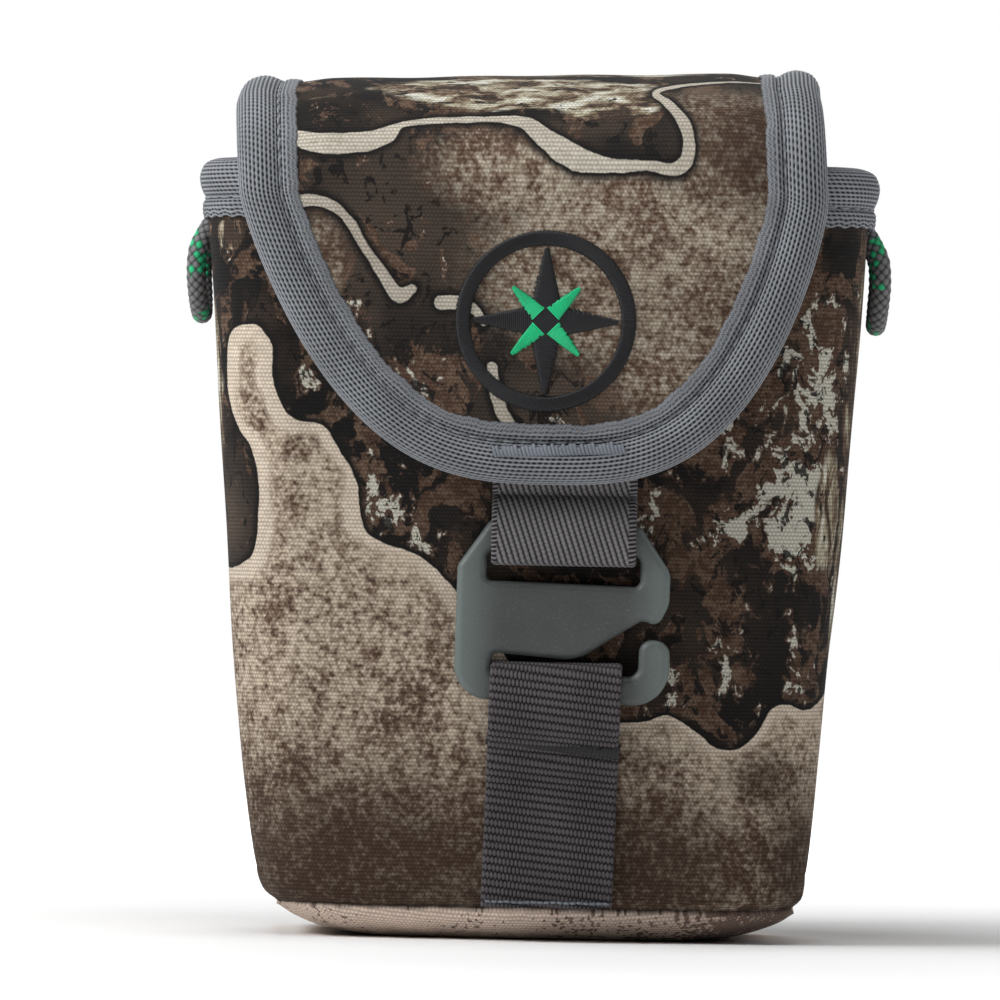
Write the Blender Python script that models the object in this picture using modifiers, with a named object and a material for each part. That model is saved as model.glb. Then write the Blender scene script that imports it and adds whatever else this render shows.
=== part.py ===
"""Padded belt pouch for a compact laser rangefinder, closed and empty.

Metres, +Z up, front towards -Y, origin at the middle of the base. The dimensions and the functions
that place things work in millimetres; MM turns them into metres where a mesh is made.
"""

import math

import bmesh
import bpy
import numpy as np
from mathutils import Matrix, Vector

MM = 0.001
GAP = 0.3  # room between touching pieces

# Pouch body
BACK_Y = 27.7  # outer face of the back panel
SEAM_Z = 4.6  # where the walls meet the base panel
WALL_TOP_Z = 109.9  # where the walls go into the mouth binding
MOUTH_Z = 118.9
BASE_HALF_WIDTH = 42.15
MOUTH_HALF_WIDTH = 50.7
WIDTH_POWER = 0.78
ROUNDED_TO_Z = 10.5  # below this the walls turn in towards the base seam
TURN_IN = 1.3
BASE_DEPTH = 46.5
DEPTH_SLOPE = 5.5 / 118.0  # how much deeper the pouch gets for each millimetre of height
FRONT_CROWN = 1.8
FRONT_CORNER = 13.0
BACK_CORNER = 9.0
BACK_HEM = 1.2  # how far the side wall runs on, flat, past its back corner
OUTER_THICK, FOAM_THICK, LINING_THICK = 0.8, 2.6, 0.6
FOAM_INSET = OUTER_THICK + GAP
LINING_GAP = 0.5  # wider, because the foam grows thicker where the walls turn in
LINING_INSET = FOAM_INSET + FOAM_THICK + LINING_GAP
WALL_THICK = LINING_INSET + LINING_THICK
INNER_LIFT = 0.35  # the inner layers start this much higher for each millimetre that they lie inside
BASE_FLAT_SHARE = 0.62  # share of the base that stands on the ground

# Mouth binding
BINDING_PROUD = 1.4
BINDING_THICK = WALL_THICK + 2 * BINDING_PROUD

# Flap
FLAP_X = -0.5
FLAP_SKEW = 2.9  # how far the flap's tip hangs to the right
CROWN_LEAN = 0.028  # rise of the crown for each millimetre to the right
FLAP_LAYERS = (0.8, 2.2, 0.6)  # outer, foam, lining
FLAP_THICK = sum(FLAP_LAYERS) + 2 * GAP
FLAP_ROLL_RADIUS = 3.1
FLAP_ROOT_Z = 112.0
ARCH_Z = 114.0  # where the flap's straight back and front end and its arch begins
ARCH_RISE = 18.0 - FLAP_THICK / 2
ARCH_POWER = 2.3
ARCH_SPLIT_DEG = 42.0  # the shoulder, where the flap's front half folds
SHOULDER_GAP = 0.8
FLAP_ROOT_HALF, FLAP_CROWN_HALF, FLAP_FRONT_HALF = 39.2, 42.8, 44.6
FLAP_TIP_Z = 69.8
FLAP_WIDEST_Z = 113.0
FLAP_DROP_POWER, FLAP_SIDE_POWER = 1.2, 2.9  # of the curve that the front edge follows
FLAP_RIM = 2 * FLAP_ROLL_RADIUS + GAP

# Closure
WEBBING_X = 4.2
WEBBING_WIDTH = 20.0
WEBBING_THICK = 1.3
BAND_SLACK = 0.45  # room for the tilted bars inside the soft bands
LOOP_WIDTH = 18.8  # the webbing narrows a little where it goes round the hook
WEBBING_BOTTOM_Z = 6.0
TACK_Z = 29.8
TACK_HEIGHT = 3.6
TACK_THICK = 0.6
STRAP_X = 5.0
STRAP_WIDTH = 22.0
STRAP_THICK = 1.3
LIP_Z = 69.5
HOOK_X, HOOK_Z = 5.0, 56.9  # centre of the hook's slot
HOOK_TILT_DEG = -1.5
HOOK_THICK = 2.8
HOOK_ROUND = 0.7
HOOK_OUT = GAP + STRAP_THICK + GAP + HOOK_THICK / 2
BAR_LOW, BAR_TOP = 2.3, 7.1  # the hook's top bar, above the slot's centre
CATCH_LOW, CATCH_TOP = -20.2, -15.8  # its lower bar
# The hook's outline from its top left corner, anticlockwise: x, z, corner radius.
HOOK_OUTLINE = (
    (-11.4, 7.1, 1.2), (-16.1, 0.0, 1.6), (-15.9, -20.2, 5.2), (16.7, -20.2, 5.6),
    (16.7, -10.1, 2.1), (12.0, -10.1, 1.6), (12.0, -15.8, 1.6), (-10.2, -15.8, 0.7),
    (-10.4, -13.0, 0.9), (2.6, -13.7, 7.0), (12.4, -7.1, 1.6), (14.7, -8.1, 0.8),
    (16.3, -4.6, 2.5), (16.3, 0.2, 2.0), (11.4, 7.1, 1.2),
)
SLOT_HALF, SLOT_LOW, SLOT_CORNER = 11.7, -2.1, 1.0

# Belt loops
BELT_X = 20.0
BELT_WIDTH = 25.0
BELT_THICK = 1.5
BELT_LOW_Z, BELT_TOP_Z = 36.0, 96.0
BELT_SEWN = 6.0  # length sewn flat at each end
BELT_RISE_LENGTH = 7.0
BELT_BOW = 5.6

# Side cord loops
CORD_RADIUS = 1.55
CORD_OUT = GAP + CORD_RADIUS + 0.3
# One loop from its front end: distance in front of the loop's middle, height.
CORD_ROUTE = (
    (7.6, 109.9), (7.8, 107.0), (7.7, 104.0), (6.9, 101.1), (5.3, 98.6), (2.9, 96.9), (0.0, 96.3),
    (-2.9, 96.9), (-5.3, 98.6), (-6.9, 101.1), (-7.7, 104.0), (-7.8, 107.0), (-7.6, 109.9),
)

# Emblem: a compass star on the flap
EMBLEM_X, EMBLEM_Z = 1.7, 94.5
EMBLEM_RADIUS = 13.8
EMBLEM_WAIST = 5.2
EMBLEM_THICK = 0.4

# Name: base colour, roughness, metallic
MATERIALS = {
    "camo_fabric": ((0.16, 0.125, 0.085), 0.85, 0.0),
    "foam": ((0.05, 0.05, 0.05), 0.95, 0.0),
    "lining": ((0.06, 0.065, 0.07), 0.8, 0.0),
    "binding": ((0.15, 0.155, 0.165), 0.85, 0.0),
    "webbing": ((0.085, 0.08, 0.085), 0.8, 0.0),
    "elastic": ((0.12, 0.11, 0.115), 0.85, 0.0),
    "thread": ((0.16, 0.165, 0.2), 0.6, 0.0),
    "hook_metal": ((0.13, 0.16, 0.15), 0.5, 0.4),
    "cord": ((0.07, 0.07, 0.075), 0.8, 0.0),
    "emblem_thread": ((0.02, 0.02, 0.022), 0.5, 0.0),
}


def clear_scene():
    for thing in list(bpy.data.objects):
        bpy.data.objects.remove(thing, do_unlink=True)


def make_material(name):
    colour, roughness, metallic = MATERIALS[name]
    material = bpy.data.materials.new(name)
    material.use_nodes = True
    shader = material.node_tree.nodes["Principled BSDF"]
    shader.inputs["Base Color"].default_value = (*colour, 1.0)
    shader.inputs["Roughness"].default_value = roughness
    shader.inputs["Metallic"].default_value = metallic
    return material


class Workshop:
    """Holds the object's collection and its materials while the pieces are made."""

    def __init__(self):
        self.parts = bpy.data.collections.new("rangefinder_pouch")
        bpy.context.scene.collection.children.link(self.parts)
        self.materials = {name: make_material(name) for name in MATERIALS}

    def add(self, name, data, material):
        thing = bpy.data.objects.new(name, data)
        data.materials.append(self.materials[material])
        self.parts.objects.link(thing)
        return thing


def smooth_step(t):
    t = min(max(t, 0.0), 1.0)
    return t * t * (3 - 2 * t)


def along(first, last, count):
    return [first + (last - first) * i / count for i in range(count + 1)]


# ---- placing functions, in millimetres ----


def turn_in(z):
    """How far the walls have turned in at this height, towards the base seam."""
    return TURN_IN * max(0.0, (ROUNDED_TO_Z - z) / (ROUNDED_TO_Z - SEAM_Z)) ** 2


def half_width(z):
    share = max(0.0, (z - ROUNDED_TO_Z) / (WALL_TOP_Z - ROUNDED_TO_Z))
    return BASE_HALF_WIDTH + (MOUTH_HALF_WIDTH - BASE_HALF_WIDTH) * share**WIDTH_POWER - turn_in(z)


def front_plane(z):
    """Y of the front panel's corners at this height, before its crown."""
    return BACK_Y - BASE_DEPTH - DEPTH_SLOPE * z + turn_in(z)


def front_face(z):
    """Y of the front panel's crest, where the webbing and the hook lie."""
    return BACK_Y - BASE_DEPTH - DEPTH_SLOPE * z - FRONT_CROWN


def arc(centre_x, centre_y, radius, from_deg, to_deg, count):
    return [
        (centre_x + radius * math.cos(math.radians(a)), centre_y + radius * math.sin(math.radians(a)))
        for a in along(from_deg, to_deg, count)
    ]


def wrap_outline(z, inset):
    """Plan of the front and side wall, from the back left seam round the front to the back right seam."""
    wide, front, back = half_width(z) - inset, front_plane(z) + inset, BACK_Y - inset
    front_round, back_round = FRONT_CORNER - inset, BACK_CORNER - inset
    straight = half_width(z) - FRONT_CORNER
    left = [(back_round - wide + BACK_HEM, back)]
    left += arc(back_round - wide, back - back_round, back_round, 90, 180, 4)
    left += arc(front_round - wide, front + front_round, front_round, 180, 270, 5)
    across = [
        (x, front - FRONT_CROWN * (1 - (x / straight) ** 2)) for x in along(-straight, straight, 8)[1:-1]
    ]
    return left + across + [(-x, y) for x, y in reversed(left)]


def back_outline(z, inset):
    half = half_width(z) - BACK_CORNER - BACK_HEM - GAP
    return [(x, BACK_Y - inset) for x in along(half, -half, 4)]


def flap_half_width(y, z):
    """Half the flap's width, binding included, at a point of its side profile."""
    front = flap_mid(ARCH_Z, front=True)
    back = flap_mid(ARCH_Z, front=False)
    share = min(max((y - front) / (back - front), 0.0), 1.0)
    if z < FLAP_WIDEST_Z and share < 0.5:
        down = min((FLAP_WIDEST_Z - z) / (FLAP_WIDEST_Z - FLAP_TIP_Z), 1.0)
        return FLAP_FRONT_HALF * (1 - down**FLAP_DROP_POWER) ** (1 / FLAP_SIDE_POWER)
    if share < 0.5:
        return FLAP_FRONT_HALF + (FLAP_CROWN_HALF - FLAP_FRONT_HALF) * smooth_step(share * 2)
    return FLAP_CROWN_HALF + (FLAP_ROOT_HALF - FLAP_CROWN_HALF) * smooth_step(share * 2 - 1)


def flap_edge(inset, count=26):
    """The flap's right front edge, as (x, z) from its widest height down to its tip, drawn inset."""
    points = []
    for degrees in along(0.0, 90.0, count):
        c, s = abs(math.cos(math.radians(degrees))), math.sin(math.radians(degrees))
        if degrees == 90.0:
            c = 0.0
        x = FLAP_FRONT_HALF * c ** (2 / FLAP_SIDE_POWER)
        z = FLAP_WIDEST_Z - (FLAP_WIDEST_Z - FLAP_TIP_Z) * s ** (2 / FLAP_DROP_POWER)
        points.append(Vector((x, z)))
    inside = []
    for i, point in enumerate(points):
        before = points[i - 1] if i else Vector((point.x, 2 * point.y - points[1].y))
        after = points[i + 1] if i < count else Vector((-points[i - 1].x, points[i - 1].y))
        run = (after - before).normalized()
        inside.append(point + Vector((run.y, -run.x)) * inset)
    return inside


def flap_mid(z, front):
    """Y of the flap's middle layer on its straight front or back stretch."""
    if not front:
        return BACK_Y - WALL_THICK / 2
    top = front_face(ARCH_Z) - BINDING_PROUD - 0.9 - FLAP_ROLL_RADIUS
    lip = front_face(FLAP_TIP_Z) - 2 * STRAP_THICK - 3 * GAP - 0.2 - FLAP_ROLL_RADIUS
    return lip + (top - lip) * (z - FLAP_TIP_Z) / (ARCH_Z - FLAP_TIP_Z)


def flap_place(x, y, z):
    """The flap's point at x across it: it hangs a little askew, its tip to the right and its crown
    higher on the right."""
    skew = 0.0
    if y < 0.0:
        skew = FLAP_SKEW * max(0.0, (FLAP_WIDEST_Z - z) / (FLAP_WIDEST_Z - FLAP_TIP_Z))
    lean = CROWN_LEAN * x * smooth_step((z - ARCH_Z) / (ARCH_RISE - 3.0))
    return (FLAP_X + skew + x, y, z + lean)


def flap_profile():
    """The flap's middle line from its root over the arch to its tip: points and outward normals."""
    front, back = flap_mid(ARCH_Z, front=True), flap_mid(ARCH_Z, front=False)
    centre, half_span = (front + back) / 2, (back - front) / 2
    points = [Vector((back, z)) for z in along(FLAP_ROOT_Z + GAP, ARCH_Z, 1)[:-1]]
    for degrees in along(180.0, 0.0, 60):
        c, s = math.cos(math.radians(degrees)), math.sin(math.radians(degrees))
        y = centre - half_span * math.copysign(abs(c) ** (2 / ARCH_POWER), c)
        points.append(Vector((y, ARCH_Z + ARCH_RISE * abs(s) ** (2 / ARCH_POWER))))
    points += [Vector((flap_mid(z, front=True), z)) for z in along(ARCH_Z, FLAP_TIP_Z, 44)[1:]]
    normals = []
    for i in range(len(points)):
        run = points[min(i + 1, len(points) - 1)] - points[max(i - 1, 0)]
        normals.append(Vector((-run.y, run.x)).normalized() * -1)
    return points, normals


class Profile:
    """The flap's side profile, read by arc length from the root."""

    def __init__(self):
        self.points, self.normals = flap_profile()
        self.lengths = [0.0]
        for a, b in zip(self.points, self.points[1:]):
            self.lengths.append(self.lengths[-1] + (b - a).length)
        self.total = self.lengths[-1]
        shoulder = ARCH_Z + ARCH_RISE * math.sin(math.radians(ARCH_SPLIT_DEG)) ** (2 / ARCH_POWER)
        self.split = min(
            (abs(p.y - shoulder), s)
            for p, s in zip(self.points, self.lengths)
            if s > self.total * 0.3
        )[1]

    def at(self, s):
        s = min(max(s, 0.0), self.total)
        i = max(k for k in range(len(self.lengths) - 1) if self.lengths[k] <= s)
        t = (s - self.lengths[i]) / (self.lengths[i + 1] - self.lengths[i])
        point = self.points[i].lerp(self.points[i + 1], t)
        return point, self.normals[i].lerp(self.normals[i + 1], t).normalized()

    def length_at_front(self, z):
        """Arc length of the straight front stretch's point at height z."""
        return self.total - (z - FLAP_TIP_Z) * self.front_stretch()

    def front_stretch(self):
        run = Vector((flap_mid(ARCH_Z, True) - flap_mid(FLAP_TIP_Z, True), ARCH_Z - FLAP_TIP_Z))
        return run.length / run.y


# ---- making functions ----


def layer(shop, name, material, rows, thickness):
    """An open sheet through rows of (x, y, z) points, thickened away from the side it faces."""
    mesh = bpy.data.meshes.new(name)
    sheet = bmesh.new()
    across, up = len(rows[0]), len(rows)
    bmesh.ops.create_grid(sheet, x_segments=across - 1, y_segments=up - 1, size=1.0)
    sheet.verts.ensure_lookup_table()
    for vertex, point in zip(sheet.verts, (p for row in rows for p in row)):
        vertex.co = Vector(point) * MM
    sheet.to_mesh(mesh)
    sheet.free()
    thing = shop.add(name, mesh, material)
    thicken = thing.modifiers.new("thickness", "SOLIDIFY")
    thicken.thickness = thickness * MM
    thicken.offset = -1.0
    thicken.use_even_offset = True
    return thing


def wall_rows(outline, inset, top):
    bottom = SEAM_Z + INNER_LIFT * inset
    heights = [bottom, (bottom + ROUNDED_TO_Z) / 2, ROUNDED_TO_Z, 24.0, 48.0, 78.0, top]
    return [[(x, y, z) for x, y in outline(z, inset)] for z in heights]


def three_layers(shop, prefix, rows_at):
    """Outer fabric, foam and lining of one padded panel."""
    layers = (
        ("outer", "camo_fabric", 0.0, OUTER_THICK),
        ("foam", "foam", FOAM_INSET, FOAM_THICK),
        ("lining", "lining", LINING_INSET, LINING_THICK),
    )
    for suffix, material, inset, thickness in layers:
        layer(shop, f"{prefix}_{suffix}", material, rows_at(inset), thickness)


def make_walls(shop):
    three_layers(shop, "front_side", lambda inset: wall_rows(wrap_outline, inset, WALL_TOP_Z))
    three_layers(shop, "back", lambda inset: wall_rows(back_outline, inset, FLAP_ROOT_Z - GAP))


def base_ring(share, inset):
    """The base panel's outline at the seam, scaled towards its middle."""
    ring = wrap_outline(SEAM_Z, inset)
    middle = (BACK_Y + front_plane(SEAM_Z)) / 2
    return [(x * share, middle + (y - middle) * share) for x, y in ring]


def base_solid(shop, name, material, levels):
    """A stack of outlines from the bottom up, each (share of the outline, inset, z), skinned and capped."""
    mesh = bpy.data.meshes.new(name)
    stack = bmesh.new()
    rings = [
        [stack.verts.new(Vector((x, y, z)) * MM) for x, y in base_ring(share, inset)]
        for share, inset, z in levels
    ]
    for low, high in zip(rings, rings[1:]):
        for i in range(len(low)):
            j = (i + 1) % len(low)
            stack.faces.new((low[i], low[j], high[j], high[i]))
    stack.faces.new(reversed(rings[0]))
    stack.faces.new(rings[-1])
    bmesh.ops.recalc_face_normals(stack, faces=stack.faces)
    stack.to_mesh(mesh)
    stack.free()
    return shop.add(name, mesh, material)


def make_base(shop):
    flat, rim = BASE_FLAT_SHARE, SEAM_Z - GAP
    dish_floor, bulge = 1.0, 1.5
    base_solid(
        shop, "base_outer", "camo_fabric",
        (
            (flat, 0.0, 0.0), (0.86, 0.0, 1.0), (0.97, 0.0, 3.0), (1.0, 0.0, rim),
            (1.0, 1.2, rim), (0.93, 1.2, bulge + 1.0), (flat, 1.2, dish_floor),
        ),
    )
    low, top = dish_floor + GAP, 3.6
    base_solid(
        shop, "base_foam", "foam",
        ((flat - 0.03, 2.0, low), (0.9, 2.0, bulge + 1.5), (0.95, 2.0, top)),
    )
    base_solid(
        shop, "base_lining", "lining",
        ((0.95, 2.0, top + GAP), (0.95, 2.0, top + GAP + LINING_THICK)),
    )


def make_mouth_binding(shop):
    heights = (WALL_TOP_Z + GAP, WALL_TOP_Z + 3.0, WALL_TOP_Z + 6.0, MOUTH_Z)
    rows = [[(x, y, z) for x, y in wrap_outline(WALL_TOP_Z, -BINDING_PROUD)] for z in heights]
    rail = layer(shop, "mouth_binding", "binding", rows, BINDING_THICK)
    edge = rail.modifiers.new("rolled_edge", "BEVEL")
    edge.width = 2.2 * MM
    edge.segments = 2
    edge.limit_method = "ANGLE"
    edge.angle_limit = math.radians(60)


def flap_rows(profile, lengths, lift):
    """Rows of the flap's panel, inside its binding."""
    rows = []
    edge = flap_edge(FLAP_RIM)
    for s in lengths:
        middle, normal = profile.at(s)
        half = flap_half_width(middle.x, middle.y) - FLAP_RIM
        if middle.y < FLAP_WIDEST_Z and middle.x < 0:
            half = np.interp(middle.y, [p.y for p in edge[::-1]], [p.x for p in edge[::-1]])
        place = middle + normal * lift
        rows.append([flap_place(x, place.x, place.y) for x in along(-half, half, 6)])
    return rows


def make_flap_panels(shop, profile):
    outer, foam, lining = FLAP_LAYERS
    lifts = (FLAP_THICK / 2, FLAP_THICK / 2 - outer - GAP, FLAP_THICK / 2 - outer - foam - 2 * GAP)
    half_gap = SHOULDER_GAP / 2
    lid = along(0.0, profile.split - half_gap, 11)
    heights = [106.0, 98.0, 91.0, 85.5, 81.0, 78.2, FLAP_TIP_Z + FLAP_RIM + 0.9]
    arch_end = profile.length_at_front(ARCH_Z)
    drop = along(profile.split + half_gap, arch_end, 5)
    drop += [profile.length_at_front(z) for z in heights]
    names = (("outer", "camo_fabric"), ("foam", "foam"), ("lining", "lining"))
    for (suffix, material), lift, thickness in zip(names, lifts, FLAP_LAYERS):
        for half, lengths in (("top", lid), ("front", drop)):
            rows = flap_rows(profile, lengths[::-1], lift)
            layer(shop, f"flap_{half}_{suffix}", material, rows, thickness)


def tube(shop, name, material, points, radius, resolution):
    curve = bpy.data.curves.new(name, "CURVE")
    curve.dimensions = "3D"
    curve.bevel_depth = radius * MM
    curve.bevel_resolution = resolution
    curve.use_fill_caps = True
    spline = curve.splines.new("POLY")
    spline.points.add(len(points) - 1)
    for control, point in zip(spline.points, points):
        control.co = (*(Vector(point) * MM), 1.0)
    return shop.add(name, curve, material)


def rim_point(profile, s, side):
    """Centre of the rolled binding beside the flap's profile at arc length s."""
    middle, _ = profile.at(s)
    half = flap_half_width(middle.x, middle.y) - FLAP_ROLL_RADIUS
    return flap_place(side * half, middle.x, middle.y)


def make_flap_binding(shop, profile):
    half_gap = SHOULDER_GAP / 2
    for side, word in ((-1, "left"), (1, "right")):
        lengths = along(0.0, profile.split - half_gap, 14)
        points = [rim_point(profile, s, side) for s in lengths]
        tube(shop, f"flap_top_binding_{word}", "binding", points, FLAP_ROLL_RADIUS, 2)
    sides = along(profile.split + half_gap, profile.length_at_front(FLAP_WIDEST_Z), 6)[:-1]
    left = [rim_point(profile, s, -1) for s in sides]
    right = [rim_point(profile, s, 1) for s in reversed(sides)]
    edge = [(p.x, p.y) for p in flap_edge(FLAP_ROLL_RADIUS, 13)]
    lip = [flap_place(-x, flap_mid(z, front=True), z) for x, z in edge]
    lip += [flap_place(x, flap_mid(z, front=True), z) for x, z in edge[-2::-1]]
    tube(shop, "flap_front_binding", "binding", left + lip + right, FLAP_ROLL_RADIUS, 2)


def rounded(corners, steps=4):
    """An outline through (x, y, radius) corners, each rounded by an arc."""
    points = []
    for i, (x, y, radius) in enumerate(corners):
        here = Vector((x, y))
        before = (Vector(corners[i - 1][:2]) - here).normalized()
        after = (Vector(corners[(i + 1) % len(corners)][:2]) - here).normalized()
        half_angle = before.angle(after) / 2
        reach = radius / math.tan(half_angle)
        centre = here + (before + after).normalized() * radius / math.sin(half_angle)
        start, end = here + before * reach - centre, here + after * reach - centre
        turn = start.angle_signed(end)
        for k in range(steps + 1):
            points.append(centre + Matrix.Rotation(-turn * k / steps, 2) @ start)
    return points


def plate(shop, name, material, outlines, thickness, round_edge, place):
    """A flat piece from closed outlines, the later ones holes, laid by a matrix."""
    curve = bpy.data.curves.new(name, "CURVE")
    curve.dimensions = "2D"
    curve.fill_mode = "BOTH"
    curve.extrude = (thickness / 2 - round_edge) * MM
    curve.bevel_depth = round_edge * MM
    curve.bevel_resolution = 1
    curve.offset = -round_edge * MM
    for outline in outlines:
        spline = curve.splines.new("POLY")
        spline.points.add(len(outline) - 1)
        spline.use_cyclic_u = True
        for control, (x, y) in zip(spline.points, outline):
            control.co = (x * MM, y * MM, 0.0, 1.0)
    drawn = bpy.data.objects.new(name + "_drawn", curve)
    bpy.context.scene.collection.objects.link(drawn)
    bpy.context.view_layer.update()
    mesh = bpy.data.meshes.new_from_object(drawn.evaluated_get(bpy.context.evaluated_depsgraph_get()))
    bpy.data.objects.remove(drawn, do_unlink=True)
    mesh.transform(place)
    welded = bmesh.new()
    welded.from_mesh(mesh)
    bmesh.ops.remove_doubles(welded, verts=welded.verts, dist=1e-6)
    bmesh.ops.recalc_face_normals(welded, faces=welded.faces)
    welded.to_mesh(mesh)
    welded.free()
    mesh.materials.clear()
    mesh.name = name
    return shop.add(name, mesh, material)


def on_front(x, z, out):
    """A matrix from a flat drawing to the pouch's front: drawn x stays x, drawn y is height, and
    the thickness runs outwards from a plane that leans with the front panel."""
    start = front_face(z) - out
    return Matrix(
        ((1, 0, 0, x * MM), (0, -DEPTH_SLOPE, -1, start * MM), (0, 1, 0, z * MM), (0, 0, 0, 1))
    )


def seen_from_side(x):
    """A matrix from a flat drawing to a section of the front: drawn x is the distance out, drawn y the
    height, and the thickness runs across the pouch."""
    start = front_face(0.0)
    return Matrix(
        ((0, 0, 1, x * MM), (-1, -DEPTH_SLOPE, 0, start * MM), (0, 1, 0, 0), (0, 0, 0, 1))
    )


def tilted(points):
    turn = Matrix.Rotation(math.radians(HOOK_TILT_DEG), 2)
    return [turn @ Vector(p) for p in points]


def make_hook(shop):
    body = tilted(rounded(HOOK_OUTLINE))
    slot = tilted(
        rounded(
            (
                (-SLOT_HALF, SLOT_LOW, SLOT_CORNER), (SLOT_HALF, SLOT_LOW, SLOT_CORNER),
                (SLOT_HALF, BAR_LOW, SLOT_CORNER), (-SLOT_HALF, BAR_LOW, SLOT_CORNER),
            )
        )
    )
    plate(
        shop, "g_hook", "hook_metal", (body, slot), HOOK_THICK, HOOK_ROUND,
        on_front(HOOK_X, HOOK_Z, HOOK_OUT),
    )


def ring_section(low, top, thick):
    """A band's section round a bar of the hook: an outer outline and the hole that the bar fills."""
    half = HOOK_THICK / 2 + GAP
    corner = 0.9
    hole = (
        (HOOK_OUT - half, low, corner), (HOOK_OUT + half, low, corner),
        (HOOK_OUT + half, top, corner), (HOOK_OUT - half, top, corner),
    )
    outer = (
        (HOOK_OUT - half - thick, low - thick, 2 * corner), (HOOK_OUT + half + thick, low - thick, 2 * corner),
        (HOOK_OUT + half + thick, top + thick, 2 * corner), (HOOK_OUT - half - thick, top + thick, 2 * corner),
    )
    return rounded(outer, 2), rounded(hole, 2)


def strip(shop, name, material, x, width, z_low, z_top, out, thick):
    """A flat strip on the front."""
    corners = ((-width / 2, z_low), (width / 2, z_low), (width / 2, z_top), (-width / 2, z_top))
    plate(shop, name, material, (corners,), thick, 0.0, on_front(x, 0.0, out + thick / 2))


def make_closure(shop, profile):
    catch_low, catch_top = HOOK_Z + CATCH_LOW - BAND_SLACK, HOOK_Z + CATCH_TOP + BAND_SLACK
    outer, hole = ring_section(catch_low, catch_top, WEBBING_THICK)
    plate(
        shop, "webbing_loop", "webbing", (outer, hole), LOOP_WIDTH, 0.0,
        seen_from_side(WEBBING_X),
    )
    loop_bottom = catch_low - WEBBING_THICK
    webbing_top = loop_bottom - GAP
    strip(
        shop, "front_webbing", "webbing", WEBBING_X, WEBBING_WIDTH, WEBBING_BOTTOM_Z, webbing_top, GAP,
        WEBBING_THICK,
    )
    strip(
        shop, "webbing_bar_tack", "thread", WEBBING_X, WEBBING_WIDTH, TACK_Z - TACK_HEIGHT / 2,
        TACK_Z + TACK_HEIGHT / 2, GAP + WEBBING_THICK + GAP, TACK_THICK,
    )
    bar_low, bar_top = HOOK_Z + BAR_LOW - BAND_SLACK, HOOK_Z + BAR_TOP + BAND_SLACK
    outer, hole = ring_section(bar_low, bar_top, STRAP_THICK)
    plate(
        shop, "strap_fold", "elastic", (outer, hole), STRAP_WIDTH - 0.4, 0.0, seen_from_side(STRAP_X)
    )
    fold_top = bar_top + STRAP_THICK
    doubled = 2 * STRAP_THICK + GAP
    strip(shop, "elastic_strap", "elastic", STRAP_X, STRAP_WIDTH, fold_top + GAP, LIP_Z, GAP, doubled)
    strip(shop, "strap_anchor", "elastic", STRAP_X, STRAP_WIDTH, LIP_Z + GAP, LIP_Z + 8.0, GAP, doubled)
    tack_z = FLAP_TIP_Z + 5.2
    tack_y = flap_mid(tack_z, front=True) - FLAP_ROLL_RADIUS - GAP - TACK_THICK / 2
    strip(
        shop, "strap_bar_tack", "thread", STRAP_X - 1.0, WEBBING_WIDTH, tack_z - 1.1, tack_z + 1.1,
        front_face(tack_z) - tack_y, TACK_THICK,
    )


def make_emblem(shop):
    points = []
    for k in range(8):
        radius = EMBLEM_WAIST if k % 2 else EMBLEM_RADIUS
        angle = math.radians(45.0 * k)
        points.append((radius * math.cos(angle), radius * math.sin(angle)))
    lift = FLAP_THICK / 2 + GAP + EMBLEM_THICK / 2
    lean = (flap_mid(EMBLEM_Z + 1, True) - flap_mid(EMBLEM_Z, True))
    start = flap_mid(EMBLEM_Z, front=True) - lift
    place = Matrix(
        (
            (1, 0, 0, EMBLEM_X * MM), (0, lean, -1, start * MM), (0, 1, 0, EMBLEM_Z * MM),
            (0, 0, 0, 1),
        )
    )
    plate(shop, "emblem", "emblem_thread", (points,), EMBLEM_THICK, 0.0, place)


def belt_bow(z):
    """How far a belt loop stands off the back panel at this height."""
    from_end = min(z - BELT_LOW_Z, BELT_TOP_Z - z) - BELT_SEWN
    return BELT_BOW * smooth_step(from_end / BELT_RISE_LENGTH)


def make_belt_loops(shop):
    ends = along(0.0, BELT_SEWN + BELT_RISE_LENGTH, 6)
    heights = [BELT_LOW_Z + d for d in ends] + [BELT_TOP_Z - d for d in reversed(ends)]
    for side, word in ((-1, "left"), (1, "right")):
        rows = []
        for z in heights:
            y = BACK_Y + GAP + BELT_THICK + belt_bow(z)
            rows.append([(side * BELT_X + x, y, z) for x in (BELT_WIDTH / 2, 0.0, -BELT_WIDTH / 2)])
        layer(shop, f"belt_loop_{word}", "webbing", rows, BELT_THICK)
        for z, end in ((BELT_LOW_Z + 2.5, "low"), (BELT_TOP_Z - 2.5, "top")):
            y = BACK_Y + 2 * GAP + BELT_THICK + TACK_THICK
            tack = [
                [(side * BELT_X + x, y, z + h) for x in (BELT_WIDTH / 2 - 1.5, 1.5 - BELT_WIDTH / 2)]
                for h in (-1.2, 1.2)
            ]
            layer(shop, f"belt_tack_{word}_{end}", "thread", tack, TACK_THICK)


def smooth_route(route, per_stretch=3):
    """Points on a Catmull-Rom curve through the route's points."""
    ends = [2 * route[0] - route[1], *route, 2 * route[-1] - route[-2]]
    points = []
    for a, b, c, d in zip(ends, ends[1:], ends[2:], ends[3:]):
        for k in range(per_stretch):
            t = k / per_stretch
            points.append(
                0.5 * (2 * b + (c - a) * t + (2 * a - 5 * b + 4 * c - d) * t**2 + (3 * b - a - 3 * c + d) * t**3)
            )
    return points + [route[-1]]


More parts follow.
